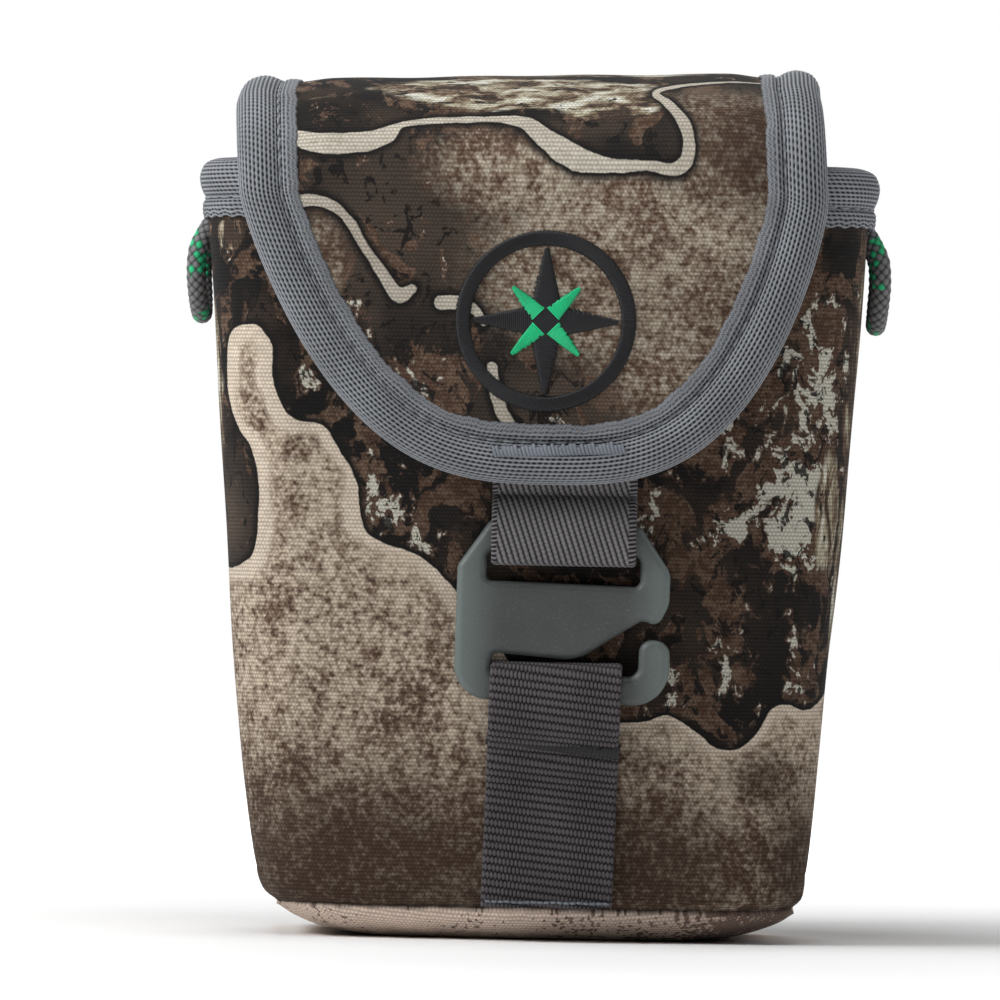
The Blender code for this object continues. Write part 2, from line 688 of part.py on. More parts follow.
def make_side_cords(shop):
    middle = BACK_Y - (BASE_DEPTH + DEPTH_SLOPE * 100.0) / 2
    for side, word in ((-1, "left"), (1, "right")):
        x = side * (half_width(103.0) + CORD_OUT)
        route = [Vector((x, middle - ahead, z)) for ahead, z in CORD_ROUTE]
        tube(shop, f"cord_loop_{word}", "cord", smooth_route(route), CORD_RADIUS, 2)


def main():
    clear_scene()
    shop = Workshop()
    profile = Profile()
    make_walls(shop)
    make_base(shop)
    make_mouth_binding(shop)
    make_flap_panels(shop, profile)
    make_flap_binding(shop, profile)
    make_closure(shop, profile)
    make_hook(shop)
    make_emblem(shop)
    make_belt_loops(shop)
    make_side_cords(shop)


main()
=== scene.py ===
"""The looks of a padded camouflage belt pouch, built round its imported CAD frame.

The dimensions and the functions that place things work in millimetres, in the frame's own axes: +Z up,
front towards -Y, origin at the middle of the base. MM turns them into metres where a mesh is made.
"""

import math

import bmesh
import bpy
import numpy as np
from mathutils import Matrix, Vector


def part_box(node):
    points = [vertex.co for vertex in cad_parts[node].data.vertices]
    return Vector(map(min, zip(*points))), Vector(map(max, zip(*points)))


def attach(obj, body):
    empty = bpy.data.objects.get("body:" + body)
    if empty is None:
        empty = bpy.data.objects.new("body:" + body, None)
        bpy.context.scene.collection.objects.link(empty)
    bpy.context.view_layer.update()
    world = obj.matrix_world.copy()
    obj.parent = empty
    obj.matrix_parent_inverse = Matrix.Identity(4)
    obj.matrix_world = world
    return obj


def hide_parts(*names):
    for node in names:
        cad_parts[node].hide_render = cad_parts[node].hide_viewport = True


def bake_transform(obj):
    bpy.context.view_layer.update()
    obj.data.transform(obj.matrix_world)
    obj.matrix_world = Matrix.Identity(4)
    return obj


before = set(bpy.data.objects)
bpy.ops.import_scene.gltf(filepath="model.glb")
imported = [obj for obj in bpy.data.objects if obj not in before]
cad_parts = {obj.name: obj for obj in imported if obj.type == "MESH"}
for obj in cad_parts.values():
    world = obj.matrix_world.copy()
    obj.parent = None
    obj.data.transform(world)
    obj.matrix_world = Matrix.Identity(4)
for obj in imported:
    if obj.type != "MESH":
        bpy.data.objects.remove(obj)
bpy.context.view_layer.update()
MM = 0.001


def box_mm(node):
    low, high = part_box(node)
    return low / MM, high / MM


def middle_and_size(node):
    """The middle of a node's box and its size, in x and z."""
    low, high = box_mm(node)
    return (low.x + high.x) / 2, (low.z + high.z) / 2, high.x - low.x, high.z - low.z


# Pouch body
WALL_LOW, WALL_HIGH = box_mm("front_side_outer")
GAP = 0.3
SEAM_Z, WALL_TOP_Z = WALL_LOW.z, WALL_HIGH.z
BACK_Y = box_mm("back_outer")[1].y
MOUTH_HALF_WIDTH = WALL_HIGH.x
WIDTH_POWER = 0.78
TURN_IN = 1.3
BASE_HALF_WIDTH = box_mm("base_outer")[1].x + TURN_IN
BASE_RIM_Z = box_mm("base_outer")[1].z
ROUNDED_TO_Z = 10.5
BASE_DEPTH = 46.5
DEPTH_SLOPE = 5.5 / 118.0
FRONT_CROWN = 1.8
FRONT_CORNER, BACK_CORNER, BACK_HEM = 13.0, 9.0, 1.2
PADDING_THICK = 3.8
SEAM_TUCK, SEAM_TUCK_HEIGHT = 1.1, 3.2
SETTLED, CORNER_SETTLED = 0.85, 1.1  # how far the low part and its left corner have moved right
LINING_INSET, LINING_THICK, LINING_FLOOR_Z = 4.2, 0.6, 4.9
WALL_THICK = LINING_INSET + LINING_THICK
BACK_TOP_Z = box_mm("back_outer")[1].z

# Flap
FLAP_X = -0.5
FLAP_SKEW = 2.9  # how far the flap's tip hangs to the right
CROWN_LEAN = 0.028  # rise of the crown for each millimetre to the right
FLAP_TIP_Z = 69.8
FLAP_THICK, FLAP_PUFF = 4.2, 0.75
ROLL_RADIUS = 3.1
MOUTH_TAPE_OUT, MOUTH_TAPE_GAP = 1.4, 0.9
FLAP_ROOT_Z = box_mm("flap_top_outer")[0].z
ARCH_Z = 114.0
ARCH_RISE = 18.0 - FLAP_THICK / 2
ARCH_POWER = 2.3
ARCH_SPLIT_DEG = 42.0
FLAP_ROOT_HALF, FLAP_CROWN_HALF, FLAP_FRONT_HALF = 39.2, 44.3, 44.6
FLAP_WIDEST_Z = 113.0
FLAP_DROP_POWER, FLAP_SIDE_POWER = 1.2, 2.9

# Closure
WEBBING_END_Z = box_mm("front_webbing")[0].z
WEBBING_X, _, WEBBING_WIDTH, _ = middle_and_size("front_webbing")
WEBBING_LEAN, LEAN_FROM_Z = 0.026, 42.0
BAND_THICK = 1.3
STRAP_X, STRAP_MIDDLE_Z, STRAP_WIDTH, _ = middle_and_size("elastic_strap")
FOLD_LOW, FOLD_HIGH = box_mm("strap_fold")
LOOP_LOW, LOOP_HIGH = box_mm("webbing_loop")
ANCHOR_TOP_Z = box_mm("strap_anchor")[1].z
HOOK_X, HOOK_Z = STRAP_X, 56.9
HOOK_TILT_DEG = -1.5
HOOK_THICK = 2.8
HOOK_OUT = GAP + BAND_THICK + GAP + HOOK_THICK / 2
# The hook's outline from its top left corner, anticlockwise: x, z, corner radius.
HOOK_OUTLINE = (
    (-11.4, 7.1, 1.2), (-16.1, 0.0, 1.6), (-15.9, -20.2, 5.2), (16.7, -20.2, 5.6),
    (16.7, -10.1, 2.3), (12.0, -10.1, 1.9), (12.0, -15.8, 1.6), (-10.2, -15.8, 0.7),
    (-10.4, -13.0, 0.9), (2.6, -13.7, 7.0), (12.4, -7.1, 1.6), (14.7, -8.1, 1.5),
    (16.3, -4.6, 4.0), (16.3, 0.2, 3.6), (11.4, 7.1, 1.2),
)
SLOT_OUTLINE = ((-11.7, -2.1, 1.0), (11.7, -2.1, 1.0), (11.7, 2.3, 1.0), (-11.7, 2.3, 1.0))

# Side cord loops, from their front end: distance in front of the loop's middle, height, distance out.
CORD_DIAMETER = 3.1
CORD_OUT = GAP + CORD_DIAMETER / 2 + 0.2
CORD_STRANDS, CORD_TURN = 6, 8.4
CORD_ROUTE = (
    (6.6, 109.2, -2.3), (7.0, 107.6, -1.2), (7.4, 105.0, 0.1), (7.2, 101.6, 0.6), (5.7, 98.2, 0.6),
    (3.1, 96.0, 0.5), (0.0, 95.3, 0.4), (-3.1, 96.0, 0.4), (-5.7, 98.2, 0.4), (-7.2, 101.6, 0.4),
    (-7.4, 105.0, 0.0), (-7.0, 107.6, -1.2), (-6.6, 109.2, -2.3),
)

# Emblem
EMBLEM_X, EMBLEM_Z, EMBLEM_WIDTH, _ = middle_and_size("emblem")


# ---- mesh making ----


def add_object(name, data):
    thing = bpy.data.objects.new(name, data)
    bpy.context.scene.collection.objects.link(thing)
    return thing


def set_marks(mesh, marks):
    """Gives a mesh the values that its material reads by name, one for each vertex."""
    for mark, values in marks.items():
        values = np.asarray(values, np.float32)
        kind, field = ("FLOAT_VECTOR", "vector") if values.ndim > 1 else ("FLOAT", "value")
        mesh.attributes.new(mark, kind, "POINT").data.foreach_set(field, values.ravel())


def build(name, points, quads, marks, fans=()):
    """A closed mesh from points in millimetres, quads, and fans (ring of indices, index of its middle)."""
    triangles = [
        np.stack([ring, np.roll(ring, -1), np.full(len(ring), middle)], -1) for ring, middle in fans
    ]
    triangles = np.concatenate(triangles) if triangles else np.zeros((0, 3), int)
    split = np.concatenate([quads[:, [0, 1, 2]], quads[:, [0, 2, 3]], triangles])
    a, b, c = (points[split[:, k]] for k in range(3))
    if np.einsum("ij,ij->i", a, np.cross(b, c)).sum() < 0:
        quads, triangles = quads[:, ::-1], triangles[:, ::-1]
    mesh = bpy.data.meshes.new(name)
    mesh.vertices.add(len(points))
    mesh.vertices.foreach_set("co", (points * MM).astype(np.float32).ravel())
    corners = np.concatenate([quads.ravel(), triangles.ravel()])
    mesh.loops.add(len(corners))
    mesh.loops.foreach_set("vertex_index", corners.astype(np.int32))
    starts = np.concatenate(
        [np.arange(len(quads)) * 4, quads.size + np.arange(len(triangles)) * 3]
    )
    mesh.polygons.add(len(starts))
    mesh.polygons.foreach_set("loop_start", starts.astype(np.int32))
    mesh.update(calc_edges=True)
    mesh.shade_smooth()
    set_marks(mesh, marks)
    return add_object(name, mesh)


def grid_quads(rows, columns, round_columns=False):
    r = np.arange(rows - 1)[:, None]
    c = np.arange(columns if round_columns else columns - 1)
    here, after = r * columns, (c + 1) % columns
    return spread(here + c, here + after, here + columns + after, here + columns + c).reshape(-1, 4)


def grid_normals(grid, round_columns=False):
    """Unit normals of a grid of points, to the right hand of its columns and then its rows."""
    if round_columns:
        across = np.roll(grid, -1, 1) - np.roll(grid, 1, 1)
    else:
        across = np.gradient(grid, axis=1)
    up = np.gradient(grid, axis=0)
    return unit(np.cross(across, up))


def flatten_marks(marks, copies=1, extra=0):
    flat = {}
    for mark, values in marks.items():
        values = values.reshape(-1, 3) if values.ndim == 3 else values.reshape(-1)
        values = np.concatenate([values] * copies)
        flat[mark] = np.concatenate([values, values[:extra]]) if extra else values
    return flat


def thick_sheet(name, grid, thickness, marks, round_columns=False):
    """A closed sheet: the grid is its outer face, and its inner face lies the thickness behind."""
    rows, columns = grid.shape[:2]
    count = rows * columns
    depth = thickness if np.isscalar(thickness) else thickness[..., None]
    inner = grid - grid_normals(grid, round_columns) * depth
    face = grid_quads(rows, columns, round_columns)
    index = np.arange(count).reshape(rows, columns)
    if round_columns:
        loops = [index[0], index[-1][::-1]]
    else:
        loops = [np.concatenate([index[0], index[1:, -1], index[-1, -2::-1], index[-2:0:-1, 0]])]
    rims = []
    for loop in loops:
        after = np.roll(loop, -1)
        rims.append(np.stack([after, loop, loop + count, after + count], -1))
    quads = np.concatenate([face, face[:, ::-1] + count, *rims])
    points = np.concatenate([grid.reshape(-1, 3), inner.reshape(-1, 3)])
    return build(name, points, quads, flatten_marks(marks, copies=2))


def swept(name, rings, marks):
    """A closed tube through rings of points, capped at both ends."""
    rows, columns = rings.shape[:2]
    points = np.concatenate([rings.reshape(-1, 3), rings[0].mean(0)[None], rings[-1].mean(0)[None]])
    index = np.arange(rows * columns).reshape(rows, columns)
    fans = ((index[0][::-1], rows * columns), (index[-1], rows * columns + 1))
    return build(name, points, grid_quads(rows, columns, True), flatten_marks(marks, extra=2), fans)


def spread(*parts):
    """Points whose coordinates are the given parts, stretched to one shape."""
    return np.stack(np.broadcast_arrays(*parts), -1)


def unit(vectors):
    return vectors / np.maximum(np.linalg.norm(vectors, axis=-1, keepdims=True), 1e-9)


def beside(line):
    """Unit vectors at a right angle to a line in a plane, to the right of its run."""
    run = unit(np.gradient(line, axis=0))
    return np.column_stack([run[:, 1], -run[:, 0]])


def there_and_back(values, axis=1):
    """The values and then the same reversed, as for the front and back of a band."""
    return np.concatenate([values, np.flip(values, axis)], axis)


def smooth_step(t):
    t = np.clip(t, 0.0, 1.0)
    return t * t * (3 - 2 * t)


def wave(length, *places):
    """A slow irregular wave from -1 to 1 over flat places in millimetres, the same each run."""
    total = 0.0
    for k, (turn, share) in enumerate(((0.3, 1.0), (1.4, 0.8), (2.5, 0.6), (3.9, 0.5))):
        a = math.cos(turn) * places[0] + math.sin(turn) * (places[1] if len(places) > 1 else 0.0)
        total = total + share * np.sin(2 * math.pi * a / (length * (0.7 + 0.33 * k)) + 1.7 * k)
    return total / 2.9


def smoothed(rows, reach, **padding):
    """A table's columns, each averaged over that many rows on either side."""
    kernel = np.hanning(2 * reach + 1)
    kernel /= kernel.sum()
    padded = np.pad(rows, ((reach, reach), (0, 0)), **padding)
    return np.column_stack([np.convolve(column, kernel, mode="valid") for column in padded.T])


def distances(line):
    """Distance along a polyline to each of its points."""
    return np.concatenate([[0.0], np.cumsum(np.linalg.norm(np.diff(line, axis=0), axis=1))])


def at_distances(line, run, at):
    return np.stack([np.interp(at, run, line[:, k]) for k in range(line.shape[1])], -1)


def resample(line, step=None, count=None):
    """Points at equal distances along a polyline, and their distances."""
    line = np.asarray(line, float)
    run = distances(line)
    count = count or int(round(run[-1] / step)) + 1
    at = np.linspace(0.0, run[-1], count)
    return at_distances(line, run, at), at


def spline_through(points, per_stretch=10, closed=False):
    """Points on a Catmull-Rom curve through control points."""
    p = np.asarray(points, float)
    if closed:
        p = np.concatenate([p[-1:], p, p[:2]])
    else:
        p = np.concatenate([2 * p[:1] - p[1:2], p, 2 * p[-1:] - p[-2:-1]])
    t = np.arange(per_stretch)[:, None] / per_stretch
    made = [
        0.5 * (2 * b + (c - a) * t + (2 * a - 5 * b + 4 * c - d) * t**2 + (3 * b - a - 3 * c + d) * t**3)
        for a, b, c, d in zip(p, p[1:], p[2:], p[3:])
    ]
    return np.concatenate(made + ([] if closed else [p[-2:-1]]))


# ---- placing functions ----


def turn_in(z):
    return TURN_IN * np.maximum(0.0, (ROUNDED_TO_Z - z) / (ROUNDED_TO_Z - SEAM_Z)) ** 2


def half_width(z):
    share = np.maximum(0.0, (z - ROUNDED_TO_Z) / (WALL_TOP_Z - ROUNDED_TO_Z))
    return BASE_HALF_WIDTH + (MOUTH_HALF_WIDTH - BASE_HALF_WIDTH) * share**WIDTH_POWER - turn_in(z)


def front_plane(z):
    return BACK_Y - BASE_DEPTH - DEPTH_SLOPE * z + turn_in(z)


def front_face(z):
    """Y of the front panel's crest, where the webbing and the hook lie."""
    return BACK_Y - BASE_DEPTH - DEPTH_SLOPE * z - FRONT_CROWN


def arc(x, y, radius, from_deg, to_deg, count):
    return [
        (x + radius * math.cos(math.radians(a)), y + radius * math.sin(math.radians(a)))
        for a in np.linspace(from_deg, to_deg, count + 1)
    ]


def wrap_outline(z, inset):
    """Plan of the front and side wall, from the back left seam round the front to the back right seam."""
    wide, front, back = half_width(z) - inset, front_plane(z) + inset, BACK_Y - inset
    front_round, back_round = FRONT_CORNER - inset, BACK_CORNER - inset
    straight = half_width(z) - FRONT_CORNER
    left = [(back_round - wide + BACK_HEM, back)]
    left += arc(back_round - wide, back - back_round, back_round, 90, 180, 20)
    left += arc(front_round - wide, front + front_round, front_round, 180, 270, 24)
    across = [
        (x, front - FRONT_CROWN * (1 - (x / straight) ** 2))
        for x in np.linspace(-straight, straight, 40)[1:-1]
    ]
    return np.array(left + across + [(-x, y) for x, y in reversed(left)])


def wall_grid(inset, heights, count):
    """Points of the front and side wall, a row for each height, and their flat coordinates."""
    rows, flats = [], []
    for z in heights:
        line, at = resample(wrap_outline(z, inset), count=count)
        rows.append(spread(line[:, 0], line[:, 1], z))
        flats.append(spread(at - at[-1] / 2, z, 0.0))
    return np.array(rows), np.array(flats)


def on_front(x, z, out):
    """A point the distance out from the front panel's crest."""
    return spread(x, front_face(z) - out, z)


def flap_mid(z, front):
    if not front:
        return BACK_Y - WALL_THICK / 2
    top = front_face(ARCH_Z) - MOUTH_TAPE_OUT - MOUTH_TAPE_GAP - ROLL_RADIUS
    lip = front_face(FLAP_TIP_Z) - 2 * BAND_THICK - 3 * GAP - 0.2 - ROLL_RADIUS
    return lip + (top - lip) * (z - FLAP_TIP_Z) / (ARCH_Z - FLAP_TIP_Z)


def flap_profile():
    """The flap's middle line in (y, z) from its root over the arch to its tip, its lengths and normals."""
    front, back = flap_mid(ARCH_Z, True), flap_mid(ARCH_Z, False)
    turn = np.radians(np.linspace(180.0, 0.0, 361))
    c, s = np.cos(turn), np.abs(np.sin(turn))
    arch_y = (front + back) / 2 - (back - front) / 2 * np.sign(c) * np.abs(c) ** (2 / ARCH_POWER)
    arch_z = ARCH_Z + ARCH_RISE * s ** (2 / ARCH_POWER)
    down = np.linspace(ARCH_Z, FLAP_TIP_Z, 80)[1:]
    y = np.concatenate([[back], arch_y, flap_mid(down, True)])
    z = np.concatenate([[FLAP_ROOT_Z], arch_z, down])
    line, at = resample(np.column_stack([y, z]), step=0.25)
    run = np.gradient(line, axis=0)
    normal = np.column_stack([run[:, 1], -run[:, 0]])
    return line, at, unit(smoothed(normal, 8, mode="edge"))


FLAP_LINE, FLAP_AT, FLAP_NORMAL = flap_profile()
FLAP_LENGTH = FLAP_AT[-1]
FLAP_STRETCH = math.hypot(
    flap_mid(ARCH_Z, True) - flap_mid(FLAP_TIP_Z, True), ARCH_Z - FLAP_TIP_Z
) / (ARCH_Z - FLAP_TIP_Z)


def on_profile(s, table=FLAP_LINE):
    return [np.interp(s, FLAP_AT, column) for column in table.T]


def flap_length_at(z):
    """Length along the profile to the front stretch's height z."""
    return FLAP_LENGTH - (z - FLAP_TIP_Z) * FLAP_STRETCH


def flap_middle(s):
    """X of the flap's middle at a length along it: the tip hangs to the right."""
    below = (s - flap_length_at(FLAP_WIDEST_Z)) / (FLAP_LENGTH - flap_length_at(FLAP_WIDEST_Z))
    return FLAP_X + FLAP_SKEW * np.maximum(-0.45, below)


def flap_place(x, s, lift):
    """The point at x across and s along the flap, lifted off its middle layer."""
    (y, z), (ny, nz) = on_profile(s), on_profile(s, FLAP_NORMAL)
    z = z + nz * lift
    z = z + CROWN_LEAN * x * smooth_step((z - ARCH_Z) / (ARCH_RISE - 3.0))
    return spread(flap_middle(s) + x, y + ny * lift, z)


def flap_edge():
    """The flap's outer edge laid flat, from the left root round the tip to the right root, as
    (x, s) points at equal distances, their distances and the unit vectors inwards."""
    s = np.arange(0.0, flap_length_at(FLAP_WIDEST_Z), 0.5)
    y, _ = on_profile(s)
    front, back = flap_mid(ARCH_Z, True), flap_mid(ARCH_Z, False)
    share = np.clip((y - front) / (back - front), 0.0, 1.0)
    near_front = FLAP_FRONT_HALF + (FLAP_CROWN_HALF - FLAP_FRONT_HALF) * smooth_step(share * 2)
    near_root = FLAP_CROWN_HALF + (FLAP_ROOT_HALF - FLAP_CROWN_HALF) * smooth_step(share * 2 - 1)
    half = np.where(share < 0.5, near_front, near_root)
    turn = np.linspace(0.0, math.pi / 2, 200)
    wide = FLAP_FRONT_HALF * np.abs(np.cos(turn)) ** (2 / FLAP_SIDE_POWER)
    drop = (FLAP_WIDEST_Z - FLAP_TIP_Z) * FLAP_STRETCH
    down = flap_length_at(FLAP_WIDEST_Z) + drop * np.sin(turn) ** (2 / FLAP_DROP_POWER)
    right = np.concatenate([np.column_stack([half, s]), np.column_stack([wide, down])])
    right[-1, 0] = 0.0
    line, _ = resample(np.concatenate([right * (-1, 1), right[-2::-1]]), step=0.25)
    line, at = resample(smoothed(line, 12, mode="reflect", reflect_type="odd"), step=TAPE_STEP)
    inward = beside(line)
    if inward[len(inward) // 2, 1] > 0:
        inward = -inward
    return line, at, inward


# ---- reliefs of the textiles, from 0 in the holes to 1 on top of the yarn ----

KNIT_PITCH, KNIT_ROW, KNIT_SHIFT = 0.94, 0.65, 0.3
TAPE_STEP, TAPE_ACROSS = 0.25, 0.16


def knit(along, across):
    """Warp-knit binding tape: wavy cords along the tape with slanted pinholes between them."""
    row = np.floor(across / KNIT_ROW)
    g = across / KNIT_ROW - row - 0.5
    f = along / KNIT_PITCH + KNIT_SHIFT * row + 0.4 * g + 0.04 * np.sin(along * 0.9 + row)
    f = f - np.floor(f) - 0.5
    hole = np.exp(-((f / 0.29) ** 2) - (g / 0.27) ** 2)
    yarn = 0.5 + 0.5 * np.cos(2 * math.pi * (g - 0.5))
    loops = 0.5 + 0.5 * np.cos(2 * math.pi * f)
    return np.clip(0.60 + 0.25 * yarn + 0.15 * loops * yarn - 0.95 * hole, 0.0, 1.0)


def knit_edge(along, across):
    """The tape's selvedge: fine slanted threads."""
    lean = np.abs(np.cos(math.pi * (along + 0.9 * across) / 0.62))
    return np.clip(0.18 + 0.62 * lean, 0.0, 1.0)


def webbing_weave(across, along):
    """Flat nylon webbing: rows of lens-shaped yarns in brick order, the rows slightly aslant."""
    along = (along + 0.11 * across) / 1.14
    row = np.floor(along)
    a = across / 0.61 + 0.5 * (row % 2)
    a = a - np.floor(a) - 0.5
    b = along - row - 0.5
    lens = 1 - (a / 0.50) ** 2 - (b / 0.52) ** 2
    return np.clip(0.05 + 0.95 * np.sqrt(np.maximum(0.0, lens)), 0.0, 1.0)


def twill(across, along):
    """Elastic: steep diagonal ribs between ladder-stitched selvedges."""
    lean = (across - along * 0.35) / 0.88
    rib = np.abs(np.cos(math.pi * lean)) ** 0.9
    cut = 0.86 + 0.14 * np.cos(2 * math.pi * (along / 0.62 + np.floor(lean + 0.5) * 0.5))
    body = rib * cut
    ladder = 0.42 + 0.5 * np.cos(2 * math.pi * (along / 0.62 + 0.2 * across))
    on_edge = smooth_step((np.abs(across + 0.15) - STRAP_WIDTH / 2 + 1.15) / 0.3)
    return np.clip(body * (1 - on_edge) + ladder * on_edge, 0.0, 1.0)


# ---- materials ----


class Shader:
    """A material's node tree, with a short way to add each kind of node. Lengths are in millimetres."""

    def __init__(self, name, **settings):
        self.material = bpy.data.materials.new(name)
        self.material.use_nodes = True
        self.tree = self.material.node_tree
        self.surface = self.tree.nodes["Principled BSDF"]
        for socket, value in settings.items():
            self.surface.inputs[socket.replace("_", " ")].default_value = value

    def put(self, value, socket):
        if isinstance(value, bpy.types.NodeSocket):
            self.tree.links.new(value, socket)
        elif hasattr(value, "__len__") and len(value) == 3 and socket.type == "RGBA":
            socket.default_value = (*value, 1.0)
        else:
            socket.default_value = value

    def node(self, kind, values, **settings):
        """Adds a node with its settings and its sockets' values, and returns its outputs."""
        node = self.tree.nodes.new("ShaderNode" + kind)
        for setting, value in settings.items():
            setattr(node, setting, value)
        for socket, value in values.items():
            self.put(value, node.inputs[socket])
        return node.outputs

    def mark(self, name):
        return self.node("Attribute", {}, attribute_name=name)["Vector" if name == "flat" else "Fac"]

    def math(self, operation, a, b=0.0):
        return self.node("Math", {0: a, 1: b}, operation=operation)[0]

    def times(self, a, b):
        return self.math("MULTIPLY", a, b)

    def sum(self, *parts):
        """The parts added up. A part is a value or (value, weight)."""
        values = [self.times(*part) if isinstance(part, tuple) else part for part in parts]
        total = values[0]
        for value in values[1:]:
            total = self.math("ADD", total, value)
        return total

    def ease(self, value, low, high, to_low=0.0, to_high=1.0):
        """A smooth rise from to_low, where value is low, to to_high, where it is high."""
        numbers = dict(enumerate((value, low, high, to_low, to_high)))
        return self.node("MapRange", numbers, interpolation_type="SMOOTHSTEP")[0]

    def mix(self, share, a, b, blend="MIX"):
        return self.node("Mix", {0: share, 6: a, 7: b}, data_type="RGBA", blend_type=blend)[2]

    def shade(self, colour, factor):
        return self.mix(1.0, colour, factor, "MULTIPLY")

    def coats(self, colour, *coats):
        """The colour under coats of (value, where the coat starts, where it is full, its colour and,
        if not 1, its strength)."""
        for value, start, full, tone, *strength in coats:
            colour = self.mix(self.ease(value, start, full, 0.0, *strength), colour, tone)
        return colour

    def noise(self, size, detail=3.0, rough=0.5, stretch=(1.0, 1.0, 1.0), shift=0.0, warp=0.0):
        place = {"Vector": self.mark("flat"), "Scale": stretch, "Location": (shift, -shift, shift)}
        values = {
            "Vector": self.node("Mapping", place)[0], "Scale": 1.0 / size, "Detail": detail,
            "Roughness": rough, "Distortion": warp,
        }
        return self.node("TexNoise", values)["Fac"]

    def ripple(self, *numbers, **more):
        """Noise round zero."""
        return self.sum(self.noise(*numbers, **more), -0.5)

    def flat(self):
        return self.node("SeparateXYZ", {0: self.mark("flat")})

    def weave(self, across, along):
        """A plain weave's rows of rises in brick order, from -1 to 1."""
        x, y, _ = self.flat()
        a = self.math("COSINE", self.times(x, 2 * math.pi / across))
        b = self.math("COSINE", self.times(y, math.pi / along))
        rows = self.math("COSINE", self.times(y, 2 * math.pi / along))
        return self.sum((self.times(a, b), 0.5), (rows, 0.5))

    def finish(self, colour, height, depth=0.1, rough=None):
        """Links the colour, a bump of that depth in millimetres and, if given, the roughness."""
        bump = self.node("Bump", {"Strength": 0.9, "Distance": depth * MM, "Height": height})[0]
        for socket, value in (("Base Color", colour), ("Normal", bump), ("Roughness", rough)):
            if value is not None:
                self.put(value, self.surface.inputs[socket])
        return self.material


BLACK, DARK_BROWN, MID_BROWN = (0.0095, 0.0088, 0.0084), (0.031, 0.022, 0.017), (0.070, 0.052, 0.040)
HALO_BROWN, PALE_BARK = (0.078, 0.047, 0.033), (0.44, 0.425, 0.36)
PLATE_BROWNS = (0.062, 0.036, 0.024), (0.115, 0.075, 0.052)
MOTTLE_BROWNS = (0.06, 0.036, 0.026), (0.046, 0.028, 0.019)
BARK_TONES = (0.045, 0.031, 0.024), (0.15, 0.105, 0.07), (0.34, 0.31, 0.225), (0.56, 0.55, 0.48)
CRACK_BLACK = (0.02, 0.018, 0.016)
CLOTH_THREAD_ACROSS, CLOTH_THREAD_ALONG = 0.606, 0.583


